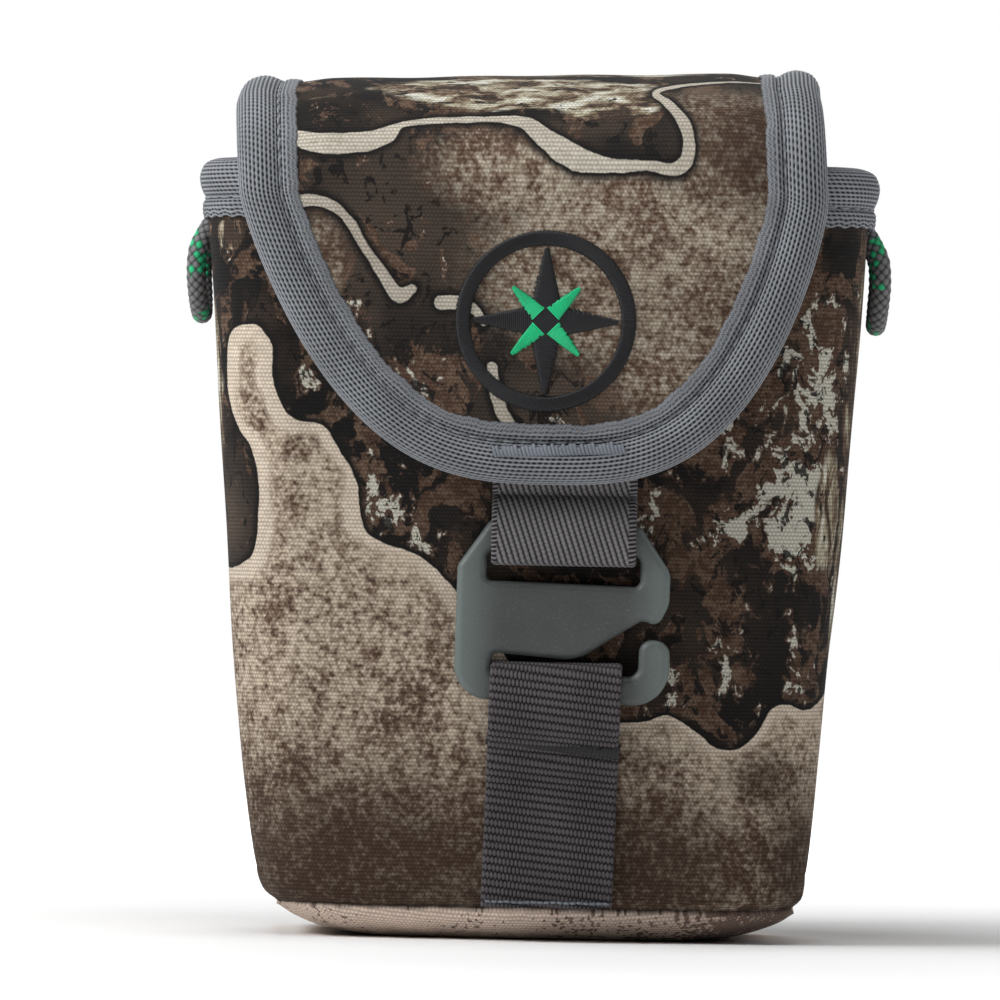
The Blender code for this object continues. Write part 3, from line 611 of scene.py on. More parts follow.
def camo_material(name, grain, light, spot, cream, cream_from, pale=0.0, bias=0.0, speckle=0.0):
    """Printed pouch fabric. Its marks say how far a place lies inside the light patches (ink_edge), and
    how mottled, bark-like, brown or flecked the print is there. grain is the bark's stretch, light and
    spot are the mottle's tones, cream is the tone of the patches' edges and cream_from their least
    width, pale is how much of the bark is light, bias how far the mottle leans to its spots and speckle
    how strong the spots on the edges are."""
    s = Shader(name, Roughness=0.88, Sheen_Weight=0.03, Sheen_Roughness=0.5, Specular_IOR_Level=0.12)
    squat = (1.0, 0.8, 1.0)
    brown, fleck = s.mark("ink_brown"), s.mark("ink_fleck")
    edge = s.sum(s.mark("ink_edge"), (s.ripple(2.6, 2.0), 0.6))
    fine = s.ripple(0.8, 2.0, shift=7.0)
    coarse = s.ripple(2.0, 4.0, 0.62, squat, 3.0)
    area = s.ripple(12.0, 2.0, shift=5.0)
    grit = s.sum(fine, coarse)

    ground = s.mix(s.ease(s.noise(15.0, 3.0, 0.6), 0.44, 0.66), BLACK, DARK_BROWN)
    ground = s.mix(s.times(brown, 0.85), ground, MID_BROWN)
    plates = s.sum(s.noise(7.0, 4.0, 0.55, squat, 51.0, 0.6), (fleck, 0.14))
    flecks = s.sum(s.noise(3.6, 8.0, 0.64, (1.0, 0.72, 1.0), 31.0, 0.5), (fleck, 0.16), (fine, 0.20))
    holes = s.sum(s.noise(2.2, 5.0, 0.6, squat, 67.0, 0.8), (fine, 0.1))
    ground = s.coats(
        ground, (plates, 0.54, 0.575, s.mix(s.ease(grit, -0.12, 0.14), *PLATE_BROWNS)),
        (flecks, 0.605, 0.65, HALO_BROWN), (flecks, 0.665, 0.70, PALE_BARK),
        (holes, 0.565, 0.60, BLACK, 0.92),
    )

    amount = s.sum((fine, 0.65), (coarse, 0.75), (area, 0.45), bias, (brown, 0.12))
    mottle = s.mix(s.ease(amount, -0.20, 0.22), light, spot)
    mottle = s.coats(mottle, (s.sum(amount, (fine, 0.6)), 0.16, 0.34, MOTTLE_BROWNS[0], 0.75))
    mottle = s.mix(s.math("MINIMUM", s.times(brown, 0.8), 0.82), mottle, MOTTLE_BROWNS[1])
    lit = s.ease(s.sum(fine, (coarse, 0.5)), -0.22, 0.0, 0.35, 0.0)
    mottle = s.mix(s.times(lit, s.ease(brown, 0.0, 0.9, 1.0, 0.25)), mottle, cream)

    streak = s.sum(s.noise(2.3, 6.0, 0.66, grain, 17.0, 0.5), (fine, 0.12), pale)
    cracks = s.noise(1.5, 5.0, 0.62, grain, 23.0, 1.4)
    bark = s.coats(
        BARK_TONES[0], (streak, 0.44, 0.50, BARK_TONES[1]), (streak, 0.50, 0.57, BARK_TONES[2]),
        (streak, 0.57, 0.64, BARK_TONES[3]), (cracks, 0.575, 0.615, CRACK_BLACK),
    )

    line = s.shade(cream, s.ease(grit, -0.25, 0.25, 0.90, 1.06))
    line = s.mix(s.times(brown, 0.35), line, spot)
    line = s.coats(line, (s.sum(fine, (area, 0.6), (brown, 0.22)), 0.15, 0.22, spot, speckle))
    width = s.ease(s.noise(13.0, 1.0, shift=5.0), 0.35, 0.65, cream_from, cream_from + 2.2)
    patch = s.coats(line, (s.sum(edge, width, (grit, 3.0)), 0.5, -0.7, mottle))

    mottled = s.sum(s.mark("ink_mottle"), (coarse, 0.5), (area, 0.5))
    barked = s.sum(s.mark("ink_bark"), (s.ripple(6.0, 6.0, 0.62, grain, 43.0), 1.1))
    colour = s.coats(
        ground, (mottled, 0.28, 0.78, mottle), (barked, 0.42, 0.58, bark), (edge, 1.5, 0.1, BLACK),
        (edge, 0.10, -0.10, patch),
    )
    # The weave darkens the print in its gaps and lightens it on the yarn tops: painted shade and highlight
    # at the weave's scale, besides its bump.
    yarn = s.sum((s.weave(CLOTH_THREAD_ACROSS, CLOTH_THREAD_ALONG), 0.7), (s.ripple(0.35, 2.0), 0.8))
    return s.finish(s.shade(colour, s.ease(yarn, -0.75, 0.75, 0.60, 1.28)), yarn, 0.05)


def textile_material(name, low, high, depth=0.03, rough=0.8, sheen=0.05):
    """Yarn from its relief mark: dark between the yarns as painted shade, lighter on top of them."""
    s = Shader(name, Roughness=rough, Sheen_Weight=sheen, Sheen_Roughness=0.45, Specular_IOR_Level=0.3)
    fibre = s.noise(0.22, 3.0, 0.6, (0.35, 1.0, 1.0))
    level = s.sum(s.mark("relief"), (s.sum(fibre, -0.5), 0.35))
    # low is painted shade down between the yarns, high the yarn's own tone on top of them.
    colour = s.mix(s.ease(level, 0.12, 0.95), low, high)
    return s.finish(s.shade(colour, s.ease(s.noise(9.0, 2.0), 0.3, 0.7, 0.88, 1.08)), fibre, depth)


def lining_material():
    s = Shader("lining_cloth", Roughness=0.6, Sheen_Weight=0.2, Sheen_Roughness=0.4)
    level = s.sum((s.weave(0.6, 0.5), 0.5), s.noise(0.5, 3.0))
    # Darker in the weave's gaps, lighter on the yarn: painted shade, with random tone from the noise.
    colour = s.mix(s.ease(level, 0.0, 1.0), (0.022, 0.023, 0.026), (0.05, 0.052, 0.058))
    return s.finish(colour, level, 0.08)


def hook_material():
    """Powder-coated metal: a fine orange peel, with a painted highlight towards both ends of the hook and on
    its rim.
    """
    s = Shader(
        "hook_coat", Roughness=0.5, Metallic=0.0, Specular_IOR_Level=0.45, Coat_Weight=0.12,
        Coat_Roughness=0.42,
    )
    grain = s.noise(0.5, 3.0, 0.6)
    tone = s.mix(s.ease(s.noise(7.0, 2.0), 0.3, 0.7), (0.041, 0.043, 0.043), (0.050, 0.053, 0.053))
    from_middle = s.math("ABSOLUTE", s.sum(s.flat()[0], -HOOK_X))
    # Painted highlight: paler towards the hook's rounded ends and on its rim, where they turn to the light.
    ends = s.sum(s.ease(from_middle, 8.5, 16.5, 0.0, 0.75), (s.mark("relief"), 0.12))
    tone = s.mix(ends, tone, (0.13, 0.163, 0.154))
    tone = s.coats(tone, (s.noise(0.25, 2.0, shift=9.0), 0.62, 0.72, (0.2, 0.22, 0.21), 0.35))
    return s.finish(tone, grain, 0.08, s.ease(grain, 0.3, 0.7, 0.44, 0.58))


def cord_material():
    s = Shader("cord_braid", Roughness=0.75, Sheen_Weight=0.1)
    height = s.ease(s.mark("relief"), 0.1, 0.9)
    # Dark down between the braid's strands, lighter on their crowns: painted shade, on the dark yarn and the
    # green tracers alike.
    dark = s.mix(height, (0.008, 0.008, 0.009), (0.15, 0.15, 0.155))
    green = s.mix(height, (0.002, 0.07, 0.03), (0.010, 0.42, 0.17))
    return s.finish(s.mix(s.mark("fleck"), dark, green), s.noise(0.2, 3.0, 0.6), 0.04)


def floor_material():
    """White floor that glows more and more away from the object, so that the floor has no horizon: a painted
    glow, which also sheds a little light on the object.
    """
    s = Shader("glowing_floor", Roughness=0.9, Emission_Color=(1.0, 1.0, 1.0, 1.0))
    tone = s.mix(s.noise(120.0, 2.0), (0.93, 0.93, 0.93), (0.95, 0.95, 0.95))
    away = s.node("VectorMath", {0: s.mark("flat")}, operation="LENGTH")["Value"]
    # Emission: the glow starts 60 mm out and is full 420 mm out.
    s.put(s.ease(away, 60.0, 420.0), s.surface.inputs["Emission Strength"])
    return s.finish(tone, s.noise(8.0, 2.0), 0.02)


MATERIALS = {
    "lining": lining_material(), "hook": hook_material(), "cord": cord_material(),
    "floor": floor_material(),
}
for word, tones in {
    "camo_wall": dict(
        grain=(1.0, 0.22, 1.0), light=(0.49, 0.41, 0.315), spot=(0.115, 0.072, 0.049),
        cream=(0.54, 0.46, 0.37), cream_from=0.5, bias=-0.01,
    ),
    "camo_flap": dict(
        grain=(0.36, 1.0, 1.0), light=(0.40, 0.345, 0.265), spot=(0.115, 0.070, 0.048),
        cream=(0.44, 0.405, 0.34), cream_from=1.5, pale=0.045, bias=0.03,
    ),
    "camo_base": dict(
        grain=(1.0, 0.5, 1.0), light=(0.5, 0.42, 0.33), spot=(0.11, 0.068, 0.052),
        cream=(0.72, 0.58, 0.485), cream_from=30.0, speckle=0.85,
    ),
}.items():
    MATERIALS[word] = camo_material(word, **tones)
# Each textile: its colour down between the yarns (painted shade), on top of them, then any bump depth,
# roughness and sheen.
for word, *numbers in (
    ("binding_tape", (0.006, 0.0065, 0.0075), (0.25, 0.263, 0.285)),
    ("nylon_webbing", (0.006, 0.005, 0.0055), (0.095, 0.084, 0.091)),
    ("elastic_twill", (0.006, 0.0055, 0.006), (0.20, 0.19, 0.197)),
    ("pale_thread", (0.02, 0.022, 0.026), (0.17, 0.185, 0.215), 0.02, 0.6),
    ("dark_thread", (0.004, 0.004, 0.0045), (0.022, 0.021, 0.023), 0.02, 0.5, 0.04),
    ("black_thread", (0.002, 0.002, 0.003), (0.008, 0.008, 0.010), 0.02, 0.5, 0.04),
    ("green_thread", (0.0, 0.09, 0.04), (0.008, 0.50, 0.20), 0.02, 0.45),
):
    MATERIALS[word] = textile_material(word, *numbers)


def dress(thing, material, body=None, replaces=()):
    """Gives a piece its material, the body it rides on and the CAD nodes it stands for."""
    thing.data.materials.clear()
    thing.data.materials.append(MATERIALS[material])
    if body:
        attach(thing, body)
    if replaces:
        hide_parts(*replaces)
    return thing


def add_lining(name, grid, flat, node, body="pouch"):
    return dress(thick_sheet(name, grid, LINING_THICK, {"flat": flat}), "lining", body, (node,))


# ---- the print's layout ----


def distance_to_line(line, x, y, radii=None):
    """Distance from each point to a polyline, less its radius there."""
    best = np.full(x.shape, 1e9)
    for k, ((ax, ay), (bx, by)) in enumerate(zip(line, line[1:])):
        dx, dy = bx - ax, by - ay
        t = np.clip(((x - ax) * dx + (y - ay) * dy) / max(dx * dx + dy * dy, 1e-9), 0, 1)
        away = np.hypot(x - ax - t * dx, y - ay - t * dy)
        if radii is not None:
            away = away - (radii[k] + (radii[k + 1] - radii[k]) * t)
        best = np.minimum(best, away)
    return best


def distance_to_patch(corners, x, y):
    """Signed distance to a smooth closed patch through its corners, negative inside."""
    line = spline_through(corners, 6, closed=True)
    ring = np.concatenate([line, line[:1]])
    inside = np.zeros(x.shape, bool)
    for (ax, ay), (bx, by) in zip(ring, ring[1:]):
        if ay != by:
            crosses = (ay > y) != (by > y)
            inside ^= crosses & (x < (bx - ax) * (y - ay) / (by - ay) + ax)
    away = distance_to_line(ring, x, y)
    return np.where(inside, -away, away)


def distance_to_stroke(points, x, y):
    """Signed distance to a brush stroke given as (x, y, radius)."""
    line = spline_through(points, 5)
    return distance_to_line(line[:, :2], x, y, line[:, 2])


def cloud(x, y, *spots):
    """A soft weight from spots given as (x, y, half width, half height, strength)."""
    total = np.zeros(x.shape)
    for cx, cy, rx, ry, strength in spots:
        total = np.maximum(total, strength * np.exp(-(((x - cx) / rx) ** 2) - ((y - cy) / ry) ** 2))
    return total


# Light patches with cream edges on the wall, in its flat coordinates: distance from the front's middle
# line, height.
WALL_PATCHES = (
    (
        (-49, 90), (-47.5, 92.5), (-45, 93.3), (-42.3, 93), (-40.3, 90), (-40, 85.5), (-38.5, 81),
        (-36.5, 79), (-32, 78), (-30, 75), (-27, 70), (-25.8, 63), (-23, 60.5), (-17, 58.5),
        (-11.5, 53.5), (-4.5, 44.5), (4, 35), (11, 33.7), (18, 34), (21, 35), (25, 33), (28.5, 30.3),
        (32, 30), (35, 32.5), (37.5, 36.5), (40.5, 36.7), (43.5, 36), (47, 37), (51.5, 38.5), (58, 36),
        (66, 39), (76, 34), (100, 30), (100, -20), (-100, -20), (-100, 52), (-80, 58), (-66, 53),
        (-58, 57), (-51.5, 56), (-45, 57.3), (-43, 60), (-42.3, 65), (-42.3, 70), (-43.5, 74.5),
        (-46.5, 78), (-49, 83),
    ),
    ((66, 84), (74, 90), (86, 84), (96, 90), (110, 80), (96, 66), (80, 70), (70, 74)),
    ((-72, 92), (-80, 98), (-96, 92), (-110, 84), (-92, 78), (-78, 82)),
)
# The same on the flap, in its flat coordinates: x, height if the front stretch went straight up. A
# stroke also has its half width.
FLAP_STROKES = (
    (
        (-44, 123, 1.0), (-37, 122, 1.1), (-32, 120.3, 1.6), (-25, 120.6, 1.5), (-21.5, 121.8, 1.2),
        (-19.5, 123.2, 0.5), (-14, 124, 0.5), (-5.5, 124.3, 0.6), (-1, 123.6, 1.1), (2, 121, 1.5),
        (6.5, 118.4, 1.6), (12, 117.4, 0.9), (17.5, 117.4, 0.6), (21.5, 117, 0.8), (23.6, 118.6, 0.9),
        (23.4, 122.5, 0.9), (21, 127, 0.8), (19.2, 130, 0.55), (21, 132, 0.6), (27, 134.5, 0.5),
        (36, 136.5, 0.4), (46, 138, 0.4),
    ),
    (
        (-40, 110.5, 0.8), (-35, 112, 0.9), (-32.5, 112, 0.9), (-30, 111, 0.75), (-28, 109, 0.7),
        (-26.4, 106, 0.65), (-24.5, 103, 0.75), (-22.4, 99.6, 0.95), (-20.9, 98, 1.15), (-19, 99, 0.7),
    ),
    ((-14.8, 97, 1.05), (-12, 97, 1.05), (-9.7, 96, 0.7), (-8.4, 94, 0.4)),
    ((-7.5, 87.5, 0.7), (-7.3, 84.5, 0.85), (-6.5, 81, 0.95), (-4.5, 77.5, 0.9)),
)


def inks(patches, strokes, x, y, **spots):
    """The print's marks at flat places x, y."""
    edge = np.full(x.shape, 12.0)
    for corners in patches:
        edge = np.minimum(edge, distance_to_patch(corners, x, y))
    for points in strokes:
        edge = np.minimum(edge, distance_to_stroke(points, x, y))
    marks = {"ink_edge": edge, "flat": spread(x, y, 0.0)}
    for kind in ("mottle", "bark", "brown", "fleck"):
        marks[f"ink_{kind}"] = cloud(x, y, *spots.get(kind, ()))
    return marks


def wall_inks(x, y):
    return inks(
        WALL_PATCHES, (), x, y,
        bark=(
            (-56, 83, 6, 16, 1.0), (57, 84, 8, 26, 0.9), (47, 66, 4, 12, 0.9), (55, 56, 6, 20, 0.9),
            (90, 50, 20, 30, 0.7), (-75, 70, 16, 24, 0.7), (-49, 107, 4, 3, 1.0),
        ),
        brown=(
            (-26, 8, 36, 18, 1.4), (-50, 64, 6, 7, 1.1), (14, 12, 24, 12, 1.2), (26, 52, 14, 12, 0.3),
            (-6, 66, 8, 10, 0.3), (36, 25, 7, 5, 0.9), (44, 84, 8, 12, 0.6), (44, 12, 10, 12, 1.2),
            (17, 27, 5, 5, 0.5),
        ),
        fleck=(
            (17.5, 67, 3, 5, 1.3), (31.5, 64, 4.5, 3.5, 1.25), (43, 86, 9, 16, 1.1), (41.5, 66, 6, 9, 2.0),
            (28, 76, 8, 5, 0.75), (22, 40, 3, 5, 0.85), (31, 42, 4, 6, 0.7), (43, 44, 4, 7, 0.7),
            (-24, 69, 5, 6, 0.85), (-19, 63, 5, 4, 0.7), (-34, 84, 4, 4, 0.4), (12, 46, 4, 3, 0.9),
        ),
    )


def flap_inks(x, y):
    marks = inks(
        (), FLAP_STROKES, x, y,
        mottle=(
            (15, 104, 28, 18, 1.15), (31, 118, 18, 14, 1.15), (22, 88, 17, 13, 1.1), (-3, 116, 15, 7, 1.1),
            (-32, 104, 4, 7, 1.1),
        ),
        bark=(
            (-1, 132, 22, 6.5, 1.2), (12, 126.5, 9, 3.5, 1.1), (10, 152, 40, 16, 0.85),
            (-30, 130, 10, 3, 0.5),
        ),
        brown=(
            (-22, 108, 16, 12, 0.95), (34, 121, 12, 10, 1.1), (2, 82, 14, 7, 1.0), (22, 96, 22, 14, 0.4),
            (-25, 95, 3, 6, 0.5), (6, 122.5, 12, 2, 0.6),
        ),
        fleck=((-18.5, 87.5, 4, 5, 1.3), (30, 158, 20, 12, 0.6), (-30, 96, 4, 6, 0.8)),
    )
    above_stroke = (12, 122, 10, 3.5, 1.8), (20, 121.5, 3, 4, 1.6), (-16, 127, 16, 2.6, 1.0)
    marks["ink_mottle"] -= cloud(x, y, *above_stroke)
    return marks


# ---- studio ----

AZIMUTH_DEG, ROLL_DEG = 1.2, 1.1
WORLD_LIGHT = 0.035
CAMERA_DISTANCE = 1500.0
FRAME_WIDTH = 154.6  # width that the view takes in at the object
VIEW_CENTRE = (-5.4, 0.0, 67.3)
SENSOR = 36.0


def add_camera():
    data = bpy.data.cameras.new("camera")
    data.sensor_width = SENSOR
    data.lens = SENSOR * CAMERA_DISTANCE / FRAME_WIDTH
    data.clip_end = 20.0
    camera = add_object("camera", data)
    turn = math.radians(AZIMUTH_DEG)
    back = Vector((math.sin(turn), -math.cos(turn), 0.0))
    camera.location = (Vector(VIEW_CENTRE) + back * CAMERA_DISTANCE) * MM
    aim = (-back).to_track_quat("-Z", "Y").to_matrix()
    camera.rotation_euler = (aim @ Matrix.Rotation(math.radians(ROLL_DEG), 3, "Z")).to_euler()
    bpy.context.scene.camera = camera


def add_light(name, at, size, watts, target=(0.0, 0.0, 0.06)):
    data = bpy.data.lights.new(name, "AREA")
    data.shape, data.size, data.size_y = "RECTANGLE", *size
    data.energy = watts
    light = add_object(name, data)
    light.location = at
    aim = Vector(target) - Vector(at)
    light.rotation_euler = aim.to_track_quat("-Z", "Y").to_euler()


def add_studio():
    add_camera()
    world = bpy.data.worlds.new("studio")
    world.use_nodes = True
    nodes = world.node_tree.nodes
    nodes["Background"].inputs["Color"].default_value = (1.0, 1.0, 1.0, 1.0)
    path = nodes.new("ShaderNodeLightPath")
    strength = nodes.new("ShaderNodeMapRange")  # seen white, but only a weak light
    strength.inputs["To Min"].default_value = WORLD_LIGHT
    strength.inputs["To Max"].default_value = 1.0
    world.node_tree.links.new(path.outputs["Is Camera Ray"], strength.inputs["Value"])
    world.node_tree.links.new(strength.outputs[0], nodes["Background"].inputs["Strength"])
    bpy.context.scene.world = world
    bpy.context.scene.view_settings.view_transform = "Standard"
    add_light("key", (-0.34, -0.18, 0.33), (0.18, 0.18), 1.52, (-0.02, -0.03, 0.10))
    add_light("fill", (0.45, -0.05, 0.30), (0.3, 0.3), 0.43)
    add_light("top", (-0.08, -0.10, 0.55), (0.35, 0.25), 1.68)
    add_light("back", (0.10, 0.50, 0.40), (0.4, 0.4), 1.0)
    edge = np.linspace(-2500.0, 2500.0, 61)
    grid = spread(edge, edge[:, None], 0.0)
    floor = thick_sheet("floor", grid, 10.0, {"flat": grid.copy()})
    floor.data.materials.append(MATERIALS["floor"])


# ---- cords ----


def add_cords():
    middle = BACK_Y - (BASE_DEPTH + DEPTH_SLOPE * 100.0) / 2
    for side, word in ((-1, "left"), (1, "right")):
        route = np.array(
            [(side * (half_width(z) + CORD_OUT + out), middle - ahead, z) for ahead, z, out in CORD_ROUTE]
        )
        path, at = resample(spline_through(route, 8), step=0.16)
        tangent = unit(np.gradient(path, axis=0))
        third = unit(np.cross(tangent, [side, 0.0, 0.0]))
        outward = np.cross(third, tangent)[:, None]
        angle = np.linspace(0, 2 * math.pi, 60, endpoint=False)
        lean = at[:, None] * 2 * math.pi / CORD_TURN
        up = (angle + lean) * CORD_STRANDS / (2 * math.pi)
        down = (angle - lean) * CORD_STRANDS / (2 * math.pi)
        over = (np.floor(up) + np.floor(down)) % 2 == 0
        on, off = np.where(over, up, down), np.where(over, down, up)
        # This relief shapes the cord and, in its material, paints shade down between the strands.
        relief = np.abs(np.sin(math.pi * on)) ** 0.6 * (0.35 + 0.65 * np.abs(np.sin(math.pi * off)) ** 0.8)
        radius = CORD_DIAMETER / 2 * (0.90 + 0.10 * relief)
        rings = (
            path[:, None]
            + radius[..., None] * np.cos(angle)[:, None] * outward
            + radius[..., None] * np.sin(angle)[:, None] * third[:, None]
        )
        number = np.floor(on) % CORD_STRANDS
        green = np.where(over, (number == 1) | (number == 2), number >= CORD_STRANDS - 2)
        fleck = green & (np.cos(2 * math.pi * (at[:, None] - 5.0) / 13.0) > -0.2)
        flat = spread(at[:, None], angle * 1.55, 0.0)
        cord = swept(f"cord_{word}", rings, {"relief": relief, "fleck": fleck * 1.0, "flat": flat})
        dress(cord, "cord", f"cord_{word}", (f"cord_loop_{word}",))
        line, _ = resample(path, count=33)
        distances(line)[-1] * MM


# ---- pouch body ----


def settle(grid):
    """Shifts a body grid's low part to the right, with its left corner rounded further in."""
    z = grid[..., 2]
    low = smooth_step((30.0 - z) / 28.0)
    corner = smooth_step((10.0 - z) / 7.0) * smooth_step((-grid[..., 0] - 26.0) / 16.0)
    moved = grid.copy()
    moved[..., 0] += SETTLED * low + CORNER_SETTLED * corner
    return moved


def soften(grid, flat, amount, length):
    """Moves a grid in and out a little, as padded fabric does."""
    move = amount * wave(length, flat[..., 0], flat[..., 1])
    return grid + grid_normals(grid) * move[..., None]


def add_walls():
    heights = np.append(np.linspace(SEAM_Z, ROUNDED_TO_Z, 10), np.arange(11.2, WALL_TOP_Z + 1.2, 0.75))
    grid, flat = wall_grid(0.0, heights, 300)
    low = smooth_step((SEAM_Z + SEAM_TUCK_HEIGHT - grid[..., 2]) / SEAM_TUCK_HEIGHT)
    tuck = SEAM_TUCK * low**2 + 0.16 * low * wave(5.5, flat[..., 0])
    grid = grid - grid_normals(grid) * tuck[..., None]
    grid = soften(grid, flat, 0.28, 34.0)
    marks = wall_inks(flat[..., 0], flat[..., 1])
    walls = thick_sheet("wall_fabric", settle(grid), PADDING_THICK, marks)
    dress(walls, "camo_wall", "pouch", ("front_side_outer", "front_side_foam"))
    grid, flat = wall_grid(LINING_INSET, np.linspace(SEAM_Z + 1.6, WALL_TOP_Z + 3, 90), 180)
    add_lining("wall_lining", settle(soften(grid, flat, 0.2, 21.0)), flat, "front_side_lining")


def add_back():
    heights = np.append(np.linspace(SEAM_Z, ROUNDED_TO_Z, 8), np.arange(11.3, BACK_TOP_Z, 0.9))
    heights = np.append(heights, BACK_TOP_Z)
    half = (half_width(heights) - BACK_CORNER - BACK_HEM + 0.2)[:, None]
    x = -np.linspace(-1.0, 1.0, 110) * half
    z = np.broadcast_to(heights[:, None], x.shape)
    from_seam = np.minimum(half - np.abs(x), np.minimum(z - SEAM_Z, BACK_TOP_Z - z))
    dip = 0.75 * (1 - smooth_step(from_seam / 4.0))
    ripple = 0.22 * wave(26.0, x, z) * smooth_step(from_seam / 8.0) - 0.2
    grid = spread(x, BACK_Y - dip + np.minimum(ripple, 0.0), z)
    panel = thick_sheet("back_fabric", settle(grid), PADDING_THICK, back_inks(x, z))
    dress(panel, "camo_wall", "pouch", ("back_outer", "back_foam"))
    flat = spread(x - 130.0, z, 0.0)  # beyond the places that the wall's lining uses
    add_lining("back_lining", settle(spread(x, BACK_Y - LINING_INSET, z)), flat, "back_lining")


def back_inks(x, y):
    return inks(
        (
            ((-60, 70), (-30, 78), (-18, 66), (0, 60), (14, 48), (30, 46), (60, 52), (60, 20), (34, 14),
             (10, 24), (-12, 20), (-30, 30), (-60, 34)),
        ),
        (((-30, 98, 1.4), (-16, 94, 1.6), (-2, 97, 1.3), (10, 90, 1.5), (26, 92, 1.2)),),
        x, y,
        mottle=((30, 84, 14, 12, 0.9), (-34, 12, 14, 8, 0.8)),
        bark=((0, 82, 16, 6, 0.9), (34, 104, 12, 6, 0.8), (-10, 8, 20, 6, 0.9)),
        brown=((18, 34, 14, 10, 0.7), (-34, 92, 10, 10, 0.6)),
        fleck=((-34, 100, 12, 10, 0.7), (14, 72, 12, 8, 0.8)),
    )


def base_outline(count):
    """The base panel's whole outline, closed, from the wall's plan at the seam."""
    ring = wrap_outline(SEAM_Z, 0.0)
    line, _ = resample(np.concatenate([ring, ring[:1]]), count=count + 1)
    return line[:-1]


def add_base():
    ring = base_outline(260)
    middle = np.array([0.0, (BACK_Y + front_plane(SEAM_Z)) / 2])
    flat_share, thickness = 0.55, 1.1
    shares = np.append(np.linspace(0.03, flat_share, 18), np.linspace(flat_share, 1.0, 34)[1:])[:, None]
    out = np.maximum(0.0, (shares - flat_share) / (1 - flat_share))
    drawn_in = shares - 0.012 * smooth_step((shares - 0.93) / 0.07)
    x, y = (middle[k] + (ring[:, k] - middle[k]) * drawn_in for k in range(2))
    pucker = 0.12 * wave(6.0, ring[:, 0], ring[:, 1]) * smooth_step((out - 0.6) / 0.3) * (shares < 0.99)
    grid = spread(x, y, (BASE_RIM_Z + 0.2) * out**2.4 + pucker)
    inner = grid - grid_normals(grid, True) * thickness
    inner[..., 2] = np.maximum(inner[..., 2], grid[..., 2] + 0.5)
    marks = {name: there_and_back(values, 0) for name, values in base_inks(x, y - 60.0).items()}
    base = swept("base_fabric", settle(np.concatenate([grid, inner[::-1]])), marks)
    dress(base, "camo_base", "pouch", ("base_outer", "base_foam"))
    place = middle + (ring - middle) * np.linspace(0.02, 0.95, 30)[:, None, None]
    grid = spread(place[..., 0], place[..., 1], LINING_FLOOR_Z)
    rings = np.concatenate([grid, grid[::-1] - (0, 0, LINING_THICK)])
    lining = swept("base_lining_cloth", settle(rings), {"flat": rings.copy()})
    dress(lining, "lining", "pouch", ("base_lining",))


def base_inks(x, y):
    # The base darker towards its front right corner and a little at its left.
    marks = inks((), (), x, y, brown=((33, -80, 20, 20, 1.3), (-40, -80, 6, 16, 0.4)))
    marks["ink_edge"] = np.full(x.shape, -9.0)
    return marks


# ---- binding ----

STITCH_PITCH, STITCH = 2.7, (1.9, 0.17)  # from one stitch to the next; a stitch's length and radius
GROOVE_IN, PANEL_IN = 6.3, 7.1  # in from the flap's edge: the tape's stitched groove, the panel's edge


def tape_section(points):
    """A binding's cross-section as a closed ring of (distance in, lift) with its distances."""
    ring = spline_through(points, 8, closed=True)
    line, at = resample(np.concatenate([ring, ring[:1]]), step=TAPE_ACROSS)
    return line[:-1], at[:-1]


# From the lip on the outer side over the roll to the lip on the inner side: distance from the flap's
# edge, lift off its middle layer.
FLAP_TAPE = (
    (9.0, 2.2), (8.95, 2.5), (8.1, 2.68), (7.1, 2.62), (6.35, 2.05), (5.7, 2.6), (4.6, 3.12), (3.1, 3.25),
    (1.2, 2.6), (0.15, 1.2), (0.0, 0.0), (0.15, -1.2), (1.0, -2.4), (2.8, -3.1), (4.8, -2.95),
    (6.2, -2.45), (7.4, -2.75), (8.2, -2.5), (8.3, -2.1), (7.6, -1.7), (5.5, -1.4), (5.0, 0.0),
    (5.5, 1.5), (7.6, 1.8),
)
# The same at the mouth: offset out of the wall's face, height.
MOUTH_TAPE = (
    (0.15, -0.1), (0.72, -0.05), (0.95, 1.0), (0.9, 2.1), (0.42, 2.8), (0.85, 3.5), (1.35, 4.8),
    (1.45, 6.4), (0.7, 8.1), (-1.0, 8.9), (-2.6, 9.0), (-4.2, 8.8), (-5.6, 7.8), (-6.1, 6.2), (-5.9, 4.2),
    (-5.3, 3.2), (-5.6, 2.2), (-5.7, 0.6), (-5.2, 0.0), (-4.7, 0.6), (-4.4, 3.0), (-2.4, 4.0), (-0.6, 3.0),
    (-0.3, 0.6),
)


